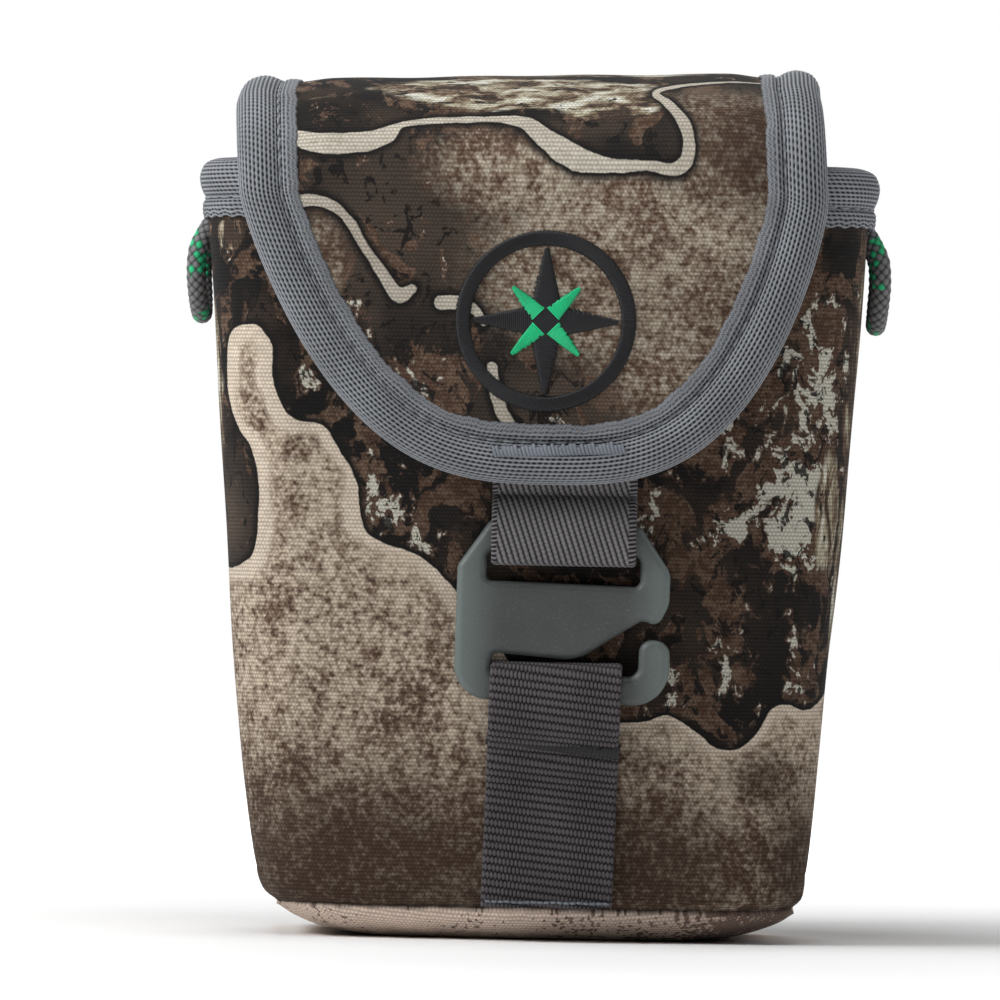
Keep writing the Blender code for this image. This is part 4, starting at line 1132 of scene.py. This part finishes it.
def add_flap_tape():
    line, at, inward = flap_edge()
    section, across = tape_section(FLAP_TAPE)
    near_lip = smooth_step((section[:, 0] - 6.8) / 1.6) * (section[:, 1] > 1.9)
    zigzag = 0.2 * wave(2.4, at) + 0.22 * wave(11.0, at)
    reach = section[:, 0] + zigzag[:, None] * near_lip
    relief = knit(at[:, None], across)
    relief = relief + (knit_edge(at[:, None], across) - relief) * 0.75 * near_lip
    seam_gather = 0.10 * np.exp(-(((section[:, 0] - GROOVE_IN) / 1.0) ** 2)) * (section[:, 1] > 0)
    lift = section[:, 1] + seam_gather * np.sin(2 * math.pi * at / STITCH_PITCH)[:, None]
    lift = lift + 0.12 * wave(19.0, at)[:, None] * np.sign(section[:, 1])
    x, s = (line[:, None, k] + inward[:, None, k] * reach for k in range(2))
    rings = flap_place(x, s, lift)
    normal = grid_normals(rings, True)
    if normal[len(at) // 2, np.argmax(section[:, 1]), 1] > 0:
        normal = -normal
    rings = rings + normal * ((relief - 0.7) * 0.26)[..., None]
    flat = spread(at[:, None], across, 0.0)
    cut = np.nonzero(line[:, 1] > FLAP_SPLIT_S)[0]
    first, last = cut[0], cut[-1]
    for name, node, part, bend in (
        ("flap_rear_tape_left", "flap_top_binding_left", slice(0, first + 1), bend_at_root),
        ("flap_front_tape", "flap_front_binding", slice(first, last + 1), bend_at_shoulder),
        ("flap_rear_tape_right", "flap_top_binding_right", slice(last, len(at)), bend_at_root),
    ):
        tape = swept(name, rings[part], {"relief": relief[part], "flat": flat[part]})
        bend(dress(tape, "binding_tape", replaces=(node,)))


def add_mouth_tape():
    line, at = resample(wrap_outline(WALL_TOP_Z, 0.0), step=TAPE_STEP)
    outward = beside(line)
    section, across = tape_section(MOUTH_TAPE)
    edge = (1 - smooth_step(section[:, 1] / 1.8)) * (section[:, 0] > -1)
    zigzag = 0.16 * np.sin(2 * math.pi * at / STITCH_PITCH) + 0.12 * wave(9.0, at)
    rise = WALL_TOP_Z + section[:, 1] + zigzag[:, None] * edge + 0.18 * wave(40.0, at)[:, None]
    relief = knit(at[:, None], across)
    out = section[:, 0] + (relief - 0.7) * 0.2
    x, y = (line[:, None, k] + outward[:, None, k] * out for k in range(2))
    rings = spread(x, y, rise)
    flat = spread(at[:, None], across, 0.0)
    tape = swept("mouth_tape", rings, {"relief": relief, "flat": flat})
    dress(tape, "binding_tape", "pouch", ("mouth_binding",))


# ---- flap ----

FLAP_SPLIT_S = 30.0
SHOULDER_Z = ARCH_Z + ARCH_RISE * math.sin(math.radians(ARCH_SPLIT_DEG)) ** (2 / ARCH_POWER)
PAST_CROWN = FLAP_AT > 40.0
SHOULDER_S = float(np.interp(-SHOULDER_Z, -FLAP_LINE[PAST_CROWN, 1], FLAP_AT[PAST_CROWN]))
SHOULDER_REACH = 7.0


def middle_point(y, z):
    """A point of the middle plane, x = 0, in metres."""
    return Vector((0.0, y, z)) * MM


def profile_point(s):
    return middle_point(*map(float, on_profile(s)))


def bend_above(piece, pivot):
    """Bakes a piece's placement into its mesh."""
    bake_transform(piece)


def bend_at_shoulder(piece):
    profile_point(SHOULDER_S - SHOULDER_REACH)
    profile_point(SHOULDER_S + SHOULDER_REACH)
    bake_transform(piece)


def bend_at_root(piece):
    bend_above(piece, profile_point(0.0))


def add_flap_panels():
    line, _, inward = flap_edge()
    right = (line + inward * PANEL_IN)[len(line) // 2 :][::-1]
    rows, _ = resample(right[right[:, 0] > 0.6], step=0.6)
    tip = rows[-1, 1]
    across = np.linspace(-1.0, 1.0, 130)
    half = rows[:, :1]
    x = half * across
    s = np.broadcast_to(rows[:, 1:], x.shape)
    from_edge = np.minimum(half - np.abs(x), tip - s)
    puff = FLAP_PUFF * smooth_step(from_edge / 7.0)
    marks = flap_inks(x, FLAP_TIP_Z + (FLAP_LENGTH - s))
    soft = 0.22 * wave(24.0, x, s) * smooth_step(from_edge / 6.0)
    outer = flap_place(x, s, FLAP_THICK / 2 + puff + soft)
    inside = flap_place(x, s, -FLAP_THICK / 2 + LINING_THICK - 0.5 * puff - soft)
    cut = int(np.argmin(np.abs(rows[:, 1] - FLAP_SPLIT_S)))
    for word, node, part, bend in (
        ("rear", "flap_top", slice(0, cut + 1), bend_at_root),
        ("front", "flap_front", slice(cut, len(rows)), bend_at_shoulder),
    ):
        own = {name: values[part][::-1] for name, values in marks.items()}
        thickness = FLAP_THICK - LINING_THICK - 0.3
        panel = thick_sheet(f"flap_{word}_fabric", outer[part][::-1], thickness, own)
        bend(dress(panel, "camo_flap", None, (f"{node}_outer", f"{node}_foam")))
        lining = inside[part][::-1]
        bend(add_lining(f"flap_{word}_lining", lining, own["flat"], f"{node}_lining", None))


# ---- straps and hook ----


def woven(name, line, at, across, relief, thickness, depth, place):
    """A flat woven band along a line of (distance out, height), with its relief on both faces. place
    maps (distance out, height) into space."""
    run = unit(np.gradient(line, axis=0))
    edge = np.sqrt(np.clip((across[-1] - np.abs(across)) / 0.5, 0.0, 1.0))
    lift = thickness / 2 * (0.35 + 0.65 * edge) + (relief - 0.8) * depth
    out, z = line[:, None].transpose(2, 0, 1)
    front = place(out + run[:, None, 1] * lift, z - run[:, None, 0] * lift)
    back = place(out - run[:, None, 1] * lift, z + run[:, None, 0] * lift)
    flat = spread(across, at[:, None], 0.0)
    marks = {"relief": there_and_back(relief), "flat": there_and_back(flat)}
    return swept(name, np.concatenate([front, back[:, ::-1]], axis=1), marks)


def band(name, path, x, width, weave, depth, start=0.0, lean=0.0):
    """A woven band on the front panel along a path of (distance out, height). It hangs over to the
    left, low down, by its lean."""
    line, at = resample(spline_through(path, 12), step=0.18)
    x = x + lean * np.minimum(0.0, line[:, 1:] - LEAN_FROM_Z)
    at = at + start
    across = np.linspace(-width / 2, width / 2, int(width / 0.15) + 1)
    return woven(
        name, line, at, across, weave(across, at[:, None]), BAND_THICK, depth,
        lambda out, z: on_front(x + across, z, out),
    )


BACK_PLY = GAP + BAND_THICK / 2
FRONT_PLY = BACK_PLY + BAND_THICK + GAP
BAR_FRONT = HOOK_OUT + HOOK_THICK / 2 + GAP + BAND_THICK / 2


def add_webbing():
    top = LOOP_HIGH.z - BAND_THICK / 2
    low = box_mm("webbing_bar_tack")[0].z - 3.0
    path = (
        (BACK_PLY, low), (BACK_PLY, low + 5), (BACK_PLY, 34.0), (BACK_PLY, top - 3.0),
        (BACK_PLY + 0.5, top - 0.6), (HOOK_OUT, top), (BAR_FRONT - 0.5, top - 0.6),
        (BAR_FRONT, top - 2.2), (BAR_FRONT, 36.0), (FRONT_PLY + 2.5, 33.2), (FRONT_PLY + 0.9, 31.0),
        (FRONT_PLY + 0.05, 29.2), (FRONT_PLY - 0.1, 27.6), (BACK_PLY + 0.5, 25.2), (BACK_PLY, 23.0),
        (BACK_PLY, 15.0), (BACK_PLY - 0.2, 8.5), (BACK_PLY - 0.7, WEBBING_END_Z - 0.7),
    )
    webbing = band(
        "front_webbing_band", path[::-1], WEBBING_X, WEBBING_WIDTH, webbing_weave, 0.28, lean=WEBBING_LEAN
    )
    dress(webbing, "nylon_webbing", replaces=("front_webbing", "webbing_loop"))
    end_x = WEBBING_X + WEBBING_LEAN * (WEBBING_END_Z - LEAN_FROM_Z)
    x = end_x + np.linspace(-0.47, 0.47, 40) * WEBBING_WIDTH
    end = on_front(x, WEBBING_END_Z + 0.1 + 0.12 * wave(5.0, x), BACK_PLY + BAND_THICK / 2)
    ahead = np.broadcast_to([0.0, -1.0, 0.0], end.shape)
    end_stitch = stitches("webbing_end_stitch", *along_line(end, ahead, 1.0), 1.0, 0.2)
    dress(end_stitch, "pale_thread", "pouch")
    bend_above(webbing, middle_point(front_face(LOOP_LOW.z), LOOP_LOW.z))


def add_elastic():
    low, top = FOLD_LOW.z + BAND_THICK / 2, FOLD_HIGH.z - BAND_THICK / 2
    split = STRAP_MIDDLE_Z + 0.8
    fold = (
        (BACK_PLY, split), (BACK_PLY, top - 1), (BACK_PLY, low + 2.5), (BACK_PLY + 0.6, low + 0.5),
        (HOOK_OUT, low), (BAR_FRONT - 0.6, low + 0.5), (BAR_FRONT, low + 2.5), (BAR_FRONT, top - 1.6),
        (BAR_FRONT - 0.4, top), ((BAR_FRONT + FRONT_PLY) / 2, (top + split) / 2),
        (FRONT_PLY + 0.3, split - 0.8), (FRONT_PLY, split),
    )
    piece = band("elastic_fold", fold[::-1], STRAP_X, STRAP_WIDTH, twill, 0.2, ANCHOR_TOP_Z - split)
    dress(piece, "elastic_twill", replaces=("strap_fold",))
    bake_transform(piece)
    for word, ply, node in (("front", FRONT_PLY, "elastic_strap"), ("back", BACK_PLY, "strap_anchor")):
        path = ((ply, ANCHOR_TOP_Z), (ply, ANCHOR_TOP_Z - 3), (ply, split + 2), (ply, split))
        piece = band(f"elastic_{word}_ply", path, STRAP_X, STRAP_WIDTH, twill, 0.2)
        dress(piece, "elastic_twill", replaces=(node,))
        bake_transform(piece)


def rounded(corners, steps=10):
    """An outline through (x, y, radius) corners, each rounded by an arc."""
    points = []
    for i, (x, y, radius) in enumerate(corners):
        here = Vector((x, y))
        before = (Vector(corners[i - 1][:2]) - here).normalized()
        after = (Vector(corners[(i + 1) % len(corners)][:2]) - here).normalized()
        half_angle = before.angle(after) / 2
        reach = radius / math.tan(half_angle)
        centre = here + (before + after).normalized() * radius / math.sin(half_angle)
        start, end = here + before * reach - centre, here + after * reach - centre
        turn = start.angle_signed(end)
        for k in range(steps + 1):
            points.append(centre + Matrix.Rotation(-turn * k / steps, 2) @ start)
    return points


def add_hook():
    tilt = Matrix.Rotation(math.radians(HOOK_TILT_DEG), 2)
    round_edge = 1.2
    curve = bpy.data.curves.new("hook_outline", "CURVE")
    curve.dimensions, curve.fill_mode = "2D", "BOTH"
    curve.extrude = (HOOK_THICK / 2 - round_edge) * MM
    curve.bevel_depth, curve.bevel_resolution = round_edge * MM, 6
    curve.offset = -round_edge * MM
    for outline in (HOOK_OUTLINE, SLOT_OUTLINE):
        ring = [tilt @ p for p in rounded(outline)]
        spline = curve.splines.new("POLY")
        spline.points.add(len(ring) - 1)
        spline.use_cyclic_u = True
        for control, (x, y) in zip(spline.points, ring):
            control.co = (x * MM, y * MM, 0.0, 1.0)
    drawn = add_object("hook_drawn", curve)
    bpy.context.view_layer.update()
    mesh = bpy.data.meshes.new_from_object(drawn.evaluated_get(bpy.context.evaluated_depsgraph_get()))
    bpy.data.objects.remove(drawn, do_unlink=True)
    start = front_face(HOOK_Z) - HOOK_OUT
    upright = (1, 0, 0, HOOK_X * MM), (0, -DEPTH_SLOPE, -1, start * MM), (0, 1, 0, HOOK_Z * MM), (0, 0, 0, 1)
    mesh.transform(Matrix(upright))
    hook = add_object("hook", mesh)
    weld(mesh)
    mesh.shade_smooth()
    mesh.set_sharp_from_angle(angle=math.radians(40))
    co = np.zeros(len(mesh.vertices) * 3, np.float32)
    mesh.vertices.foreach_get("co", co)
    co = co.reshape(-1, 3) / MM
    depth = (front_face(co[:, 2]) - HOOK_OUT) - co[:, 1]
    # The rim's mark, which the hook's material turns into a painted highlight on its rounded edges.
    rim = smooth_step((HOOK_THICK / 2 - 0.02 - depth) / 0.5)
    set_marks(mesh, {"relief": rim, "flat": co[:, [0, 2, 1]]})
    dress(hook, "hook", "hook", ("g_hook",))


def weld(mesh):
    welded = bmesh.new()
    welded.from_mesh(mesh)
    bmesh.ops.remove_doubles(welded, verts=welded.verts, dist=1e-6)
    bmesh.ops.recalc_face_normals(welded, faces=welded.faces)
    welded.to_mesh(mesh)
    welded.free()


# ---- stitching ----

THREAD_POINTS, THREAD_Y = 6, np.linspace(-1.0, 1.0, 13)


def threads(name, place, turns, y, dome, depth, flat=None):
    """Threads side by side as one closed piece. turns counts the threads, y goes from -1 to 1 along
    each of them, and place maps their lift into space. Without flat places they run in a ring."""
    thread = np.sqrt(np.maximum(0.0, 1 - (2 * (turns % 1.0) - 1) ** 2))[:, None]
    over = np.sqrt(np.maximum(0.0, 1 - y**4))
    lift = dome * over * (0.7 + 0.3 * thread) + 0.02
    rings = np.concatenate([place(lift), place(np.full(lift.shape, -depth))[:, ::-1]], axis=1)
    # Darker on each thread's sides and towards its ends: painted shade where the threads round down into the
    # cloth.
    relief = there_and_back((0.25 + 0.75 * thread) * (0.5 + 0.5 * over))
    if flat is None:
        rings, relief = (np.concatenate([values, values[:1]]) for values in (rings, relief))
        return swept(name, rings, {"relief": relief, "flat": rings[..., [0, 2, 1]]})
    return swept(name, rings, {"relief": relief, "flat": there_and_back(flat)})


def satin(name, place, width, height, pitch=0.26, dome=0.35, lean=0.0, ragged=0.05):
    """A block of parallel threads, height long, side by side over its width. place maps (x, y, lift)."""
    count = int(width / pitch)
    x = np.linspace(-width / 2, width / 2, count * THREAD_POINTS + 1)
    turns = (x + width / 2) / pitch
    number = np.minimum(np.floor(turns + 1e-6), count - 1)
    end = (1 + ragged * (np.sin(number * 2.4) + 0.6 * np.sin(number * 5.1 + 1.0)))[:, None]
    gx = x[:, None] + lean * THREAD_Y
    gy = THREAD_Y * height / 2 * end + 0.8 * (end - 1)
    flat = spread(THREAD_Y * height / 2, x[:, None], 0.0)
    return threads(name, lambda lift: place(gx, gy, lift), turns, THREAD_Y, dome, 0.25, flat)


def add_tacks():
    _, z, _, _ = middle_and_size("webbing_bar_tack")
    x_mid, face = WEBBING_X + WEBBING_LEAN * (z - LEAN_FROM_Z), FRONT_PLY + BAND_THICK / 2 - 0.1
    tack = satin(
        "webbing_tack", lambda x, y, lift: on_front(x_mid + x, z + 0.3 + y - 0.10 * x, face + lift),
        WEBBING_WIDTH + 0.3, 2.0, 0.6, 0.6, 0.22, 0.16,
    )
    dress(tack, "dark_thread", "pouch", ("webbing_bar_tack",))
    x_lip, z, width, _ = middle_and_size("strap_bar_tack")
    s_lip = flap_length_at(z)
    x_lip -= flap_middle(s_lip)
    tack = satin(
        "lip_tack",
        lambda x, y, lift: flap_place(x_lip + x, s_lip - y - 0.045 * x, ROLL_RADIUS - 0.2 + lift),
        width, 1.75, 0.56, 0.6, -0.2, 0.14,
    )
    dress(tack, "pale_thread", "flap_front", ("strap_bar_tack",))
    for node in ("belt_tack_left_low", "belt_tack_left_top", "belt_tack_right_low", "belt_tack_right_top"):
        belt_x, belt_z, width, height = middle_and_size(node)
        face = box_mm(node)[0].y
        tack = satin(
            f"{node}_thread", lambda x, y, lift: spread(belt_x - x, face + lift, belt_z + y),
            width, height, 0.34, 0.4,
        )
        dress(tack, "dark_thread", "pouch", (node,))


def stitches(name, places, directions, normals, length, radius):
    """A row of short threads, each dipping into the cloth at its ends."""
    t = np.linspace(-1.0, 1.0, 7)
    angle = np.linspace(0, 2 * math.pi, 6, endpoint=False)
    size = radius * np.sqrt(np.maximum(0.04, 1 - t**4))
    side = unit(np.cross(directions, normals))
    core = places[:, None] + directions[:, None] * (t * length / 2)[:, None]
    core = core + normals[:, None] * (radius * 0.4 - radius * 1.8 * t**4)[:, None]
    ring = (
        np.cos(angle)[:, None] * side[:, None, None]
        + np.sin(angle)[:, None] * normals[:, None, None]
    )
    points = core[:, :, None] + ring * size[:, None, None]
    n, rows, columns = points.shape[:3]
    quads = grid_quads(rows, columns, True)
    each = rows * columns
    all_quads = (quads + (np.arange(n) * each)[:, None, None]).reshape(-1, 4)
    index = np.arange(each).reshape(rows, columns)
    middles = np.stack([core[:, 0], core[:, -1]], 1).reshape(-1, 3)
    fans = []
    for k in range(n):
        fans.append((index[0][::-1] + k * each, n * each + 2 * k))
        fans.append((index[-1] + k * each, n * each + 2 * k + 1))
    points = np.concatenate([points.reshape(-1, 3), middles])
    relief = np.full(len(points), 0.8)
    return build(name, points, all_quads, {"relief": relief, "flat": points}, fans)


def along_line(line, normals, pitch):
    """Places, directions and normals for stitches at a pitch along a polyline in space."""
    run = distances(line)
    at = np.arange(pitch / 2, run[-1], pitch)
    places, ahead = (at_distances(line, run, at + further) for further in (0.0, 0.2))
    facing = at_distances(normals, run, at)
    return places, unit(ahead - places), unit(facing)


def add_seam_stitches():
    line, _, inward = flap_edge()
    groove = line + inward * GROOVE_IN
    rear = np.nonzero(line[:, 1] <= FLAP_SPLIT_S)[0]
    left, right = np.split(rear, np.nonzero(np.diff(rear) > 1)[0] + 1)
    front = np.nonzero(line[:, 1] > FLAP_SPLIT_S)[0]
    for word, part, bend in (
        ("left", left, bend_at_root), ("right", right, bend_at_root), ("front", front, bend_at_shoulder)
    ):
        base, above = (flap_place(*groove[part].T, lift) for lift in (2.2, 3.2))
        piece = stitches(f"flap_stitch_{word}", *along_line(base, above - base, STITCH_PITCH), *STITCH)
        bend(dress(piece, "binding_tape"))
    line, _ = resample(wrap_outline(WALL_TOP_Z, 0.0), step=1.0)
    outward = np.pad(beside(line), ((0, 0), (0, 1)))
    base = np.column_stack([line, np.full(len(line), WALL_TOP_Z + 2.8)]) + outward * 0.5
    piece = stitches("mouth_stitch", *along_line(base, outward, STITCH_PITCH), *STITCH)
    dress(piece, "binding_tape", "pouch")


# ---- emblem ----


def emblem_place(x, y, lift):
    """A point of the emblem on the flap's fabric, from its own middle."""
    height = EMBLEM_Z + y
    s = flap_length_at(height)
    return flap_place(EMBLEM_X - flap_middle(s) + x, s, FLAP_THICK / 2 + FLAP_PUFF + lift)


def embroidered(name, columns, material):
    """One piece of satin columns. A column is (start, end, start half width, end half width, lift)."""
    pieces = []
    for k, (start, end, first, last, rise) in enumerate(columns):
        length = np.linalg.norm(end - start)
        ahead = (end - start) / length
        side = np.array([-ahead[1], ahead[0]])
        middle = (start + end) / 2

        def place(x, y, lift):
            t = x / length + 0.5
            half = first + (last - first) * t
            at = middle + x[..., None] * ahead + (y * half)[..., None] * side
            return emblem_place(at[..., 0], at[..., 1], lift + rise)

        pieces.append(satin(f"{name}_{k}", place, length, 2.0, 0.3, 0.42))
    dress(join(name, pieces), material, "flap_front")


def join(name, pieces):
    """Makes one object of several."""
    first = pieces[0]
    with bpy.context.temp_override(active_object=first, selected_editable_objects=pieces):
        bpy.ops.object.join()
    first.name = name
    first.data.name = name
    return first


def add_emblem():
    count, half = 290, 1.15
    turn = np.linspace(0, 2 * math.pi, count * THREAD_POINTS, endpoint=False)
    turns = turn * count / (2 * math.pi)
    reach = EMBLEM_WIDTH / 2 - 1.25 + THREAD_Y * half * (1 + 0.05 * np.sin(np.floor(turns) * 2.4))[:, None]
    x, z = reach * np.cos(turn)[:, None], reach * np.sin(turn)[:, None]
    ring = threads("emblem_ring", lambda lift: emblem_place(x, z, lift), turns, THREAD_Y, 0.42, 0.3)
    dress(ring, "black_thread", "flap_front", ("emblem",))
    for name, material, first_deg, start, end, *column in (
        ("emblem_star", "black_thread", 0, 0.0, 11.0, 2.9, 0.35, 0.0),
        ("emblem_rays", "green_thread", 45, 1.5, 7.2, 1.5, 0.3, 0.12),
    ):
        columns = []
        for degrees in range(first_deg, 360, 90):
            ahead = np.array([math.cos(math.radians(degrees)), math.sin(math.radians(degrees))])
            columns.append((start * ahead, end * ahead, *column))
        embroidered(name, columns, material)


# ---- belt loops ----


def add_belt_loops():
    thickness = 1.5
    for word in ("left", "right"):
        low, high = box_mm(f"belt_loop_{word}")
        x_mid, half = (low.x + high.x) / 2, (high.x - low.x) / 2
        z = np.arange(low.z, high.z + 0.1, 0.3)
        from_end = np.minimum(z - low.z, high.z - z) - 6.0
        bow = (high.y - low.y - thickness) * smooth_step(from_end / 7.0)
        line = np.column_stack([low.y + thickness / 2 + bow, z])
        across = np.linspace(-half, half, 110)
        relief = webbing_weave(across, z[:, None])
        loop = woven(
            f"belt_webbing_{word}", line, z, across, relief, thickness, 0.2,
            lambda y, height: spread(x_mid + across, y, height),
        )
        dress(loop, "nylon_webbing", "pouch", (f"belt_loop_{word}",))


add_studio()
add_cords()
add_walls()
add_back()
add_base()
add_mouth_tape()
add_flap_tape()
add_flap_panels()
add_webbing()
add_elastic()
add_hook()
add_tacks()
add_seam_stitches()
add_emblem()
add_belt_loops()
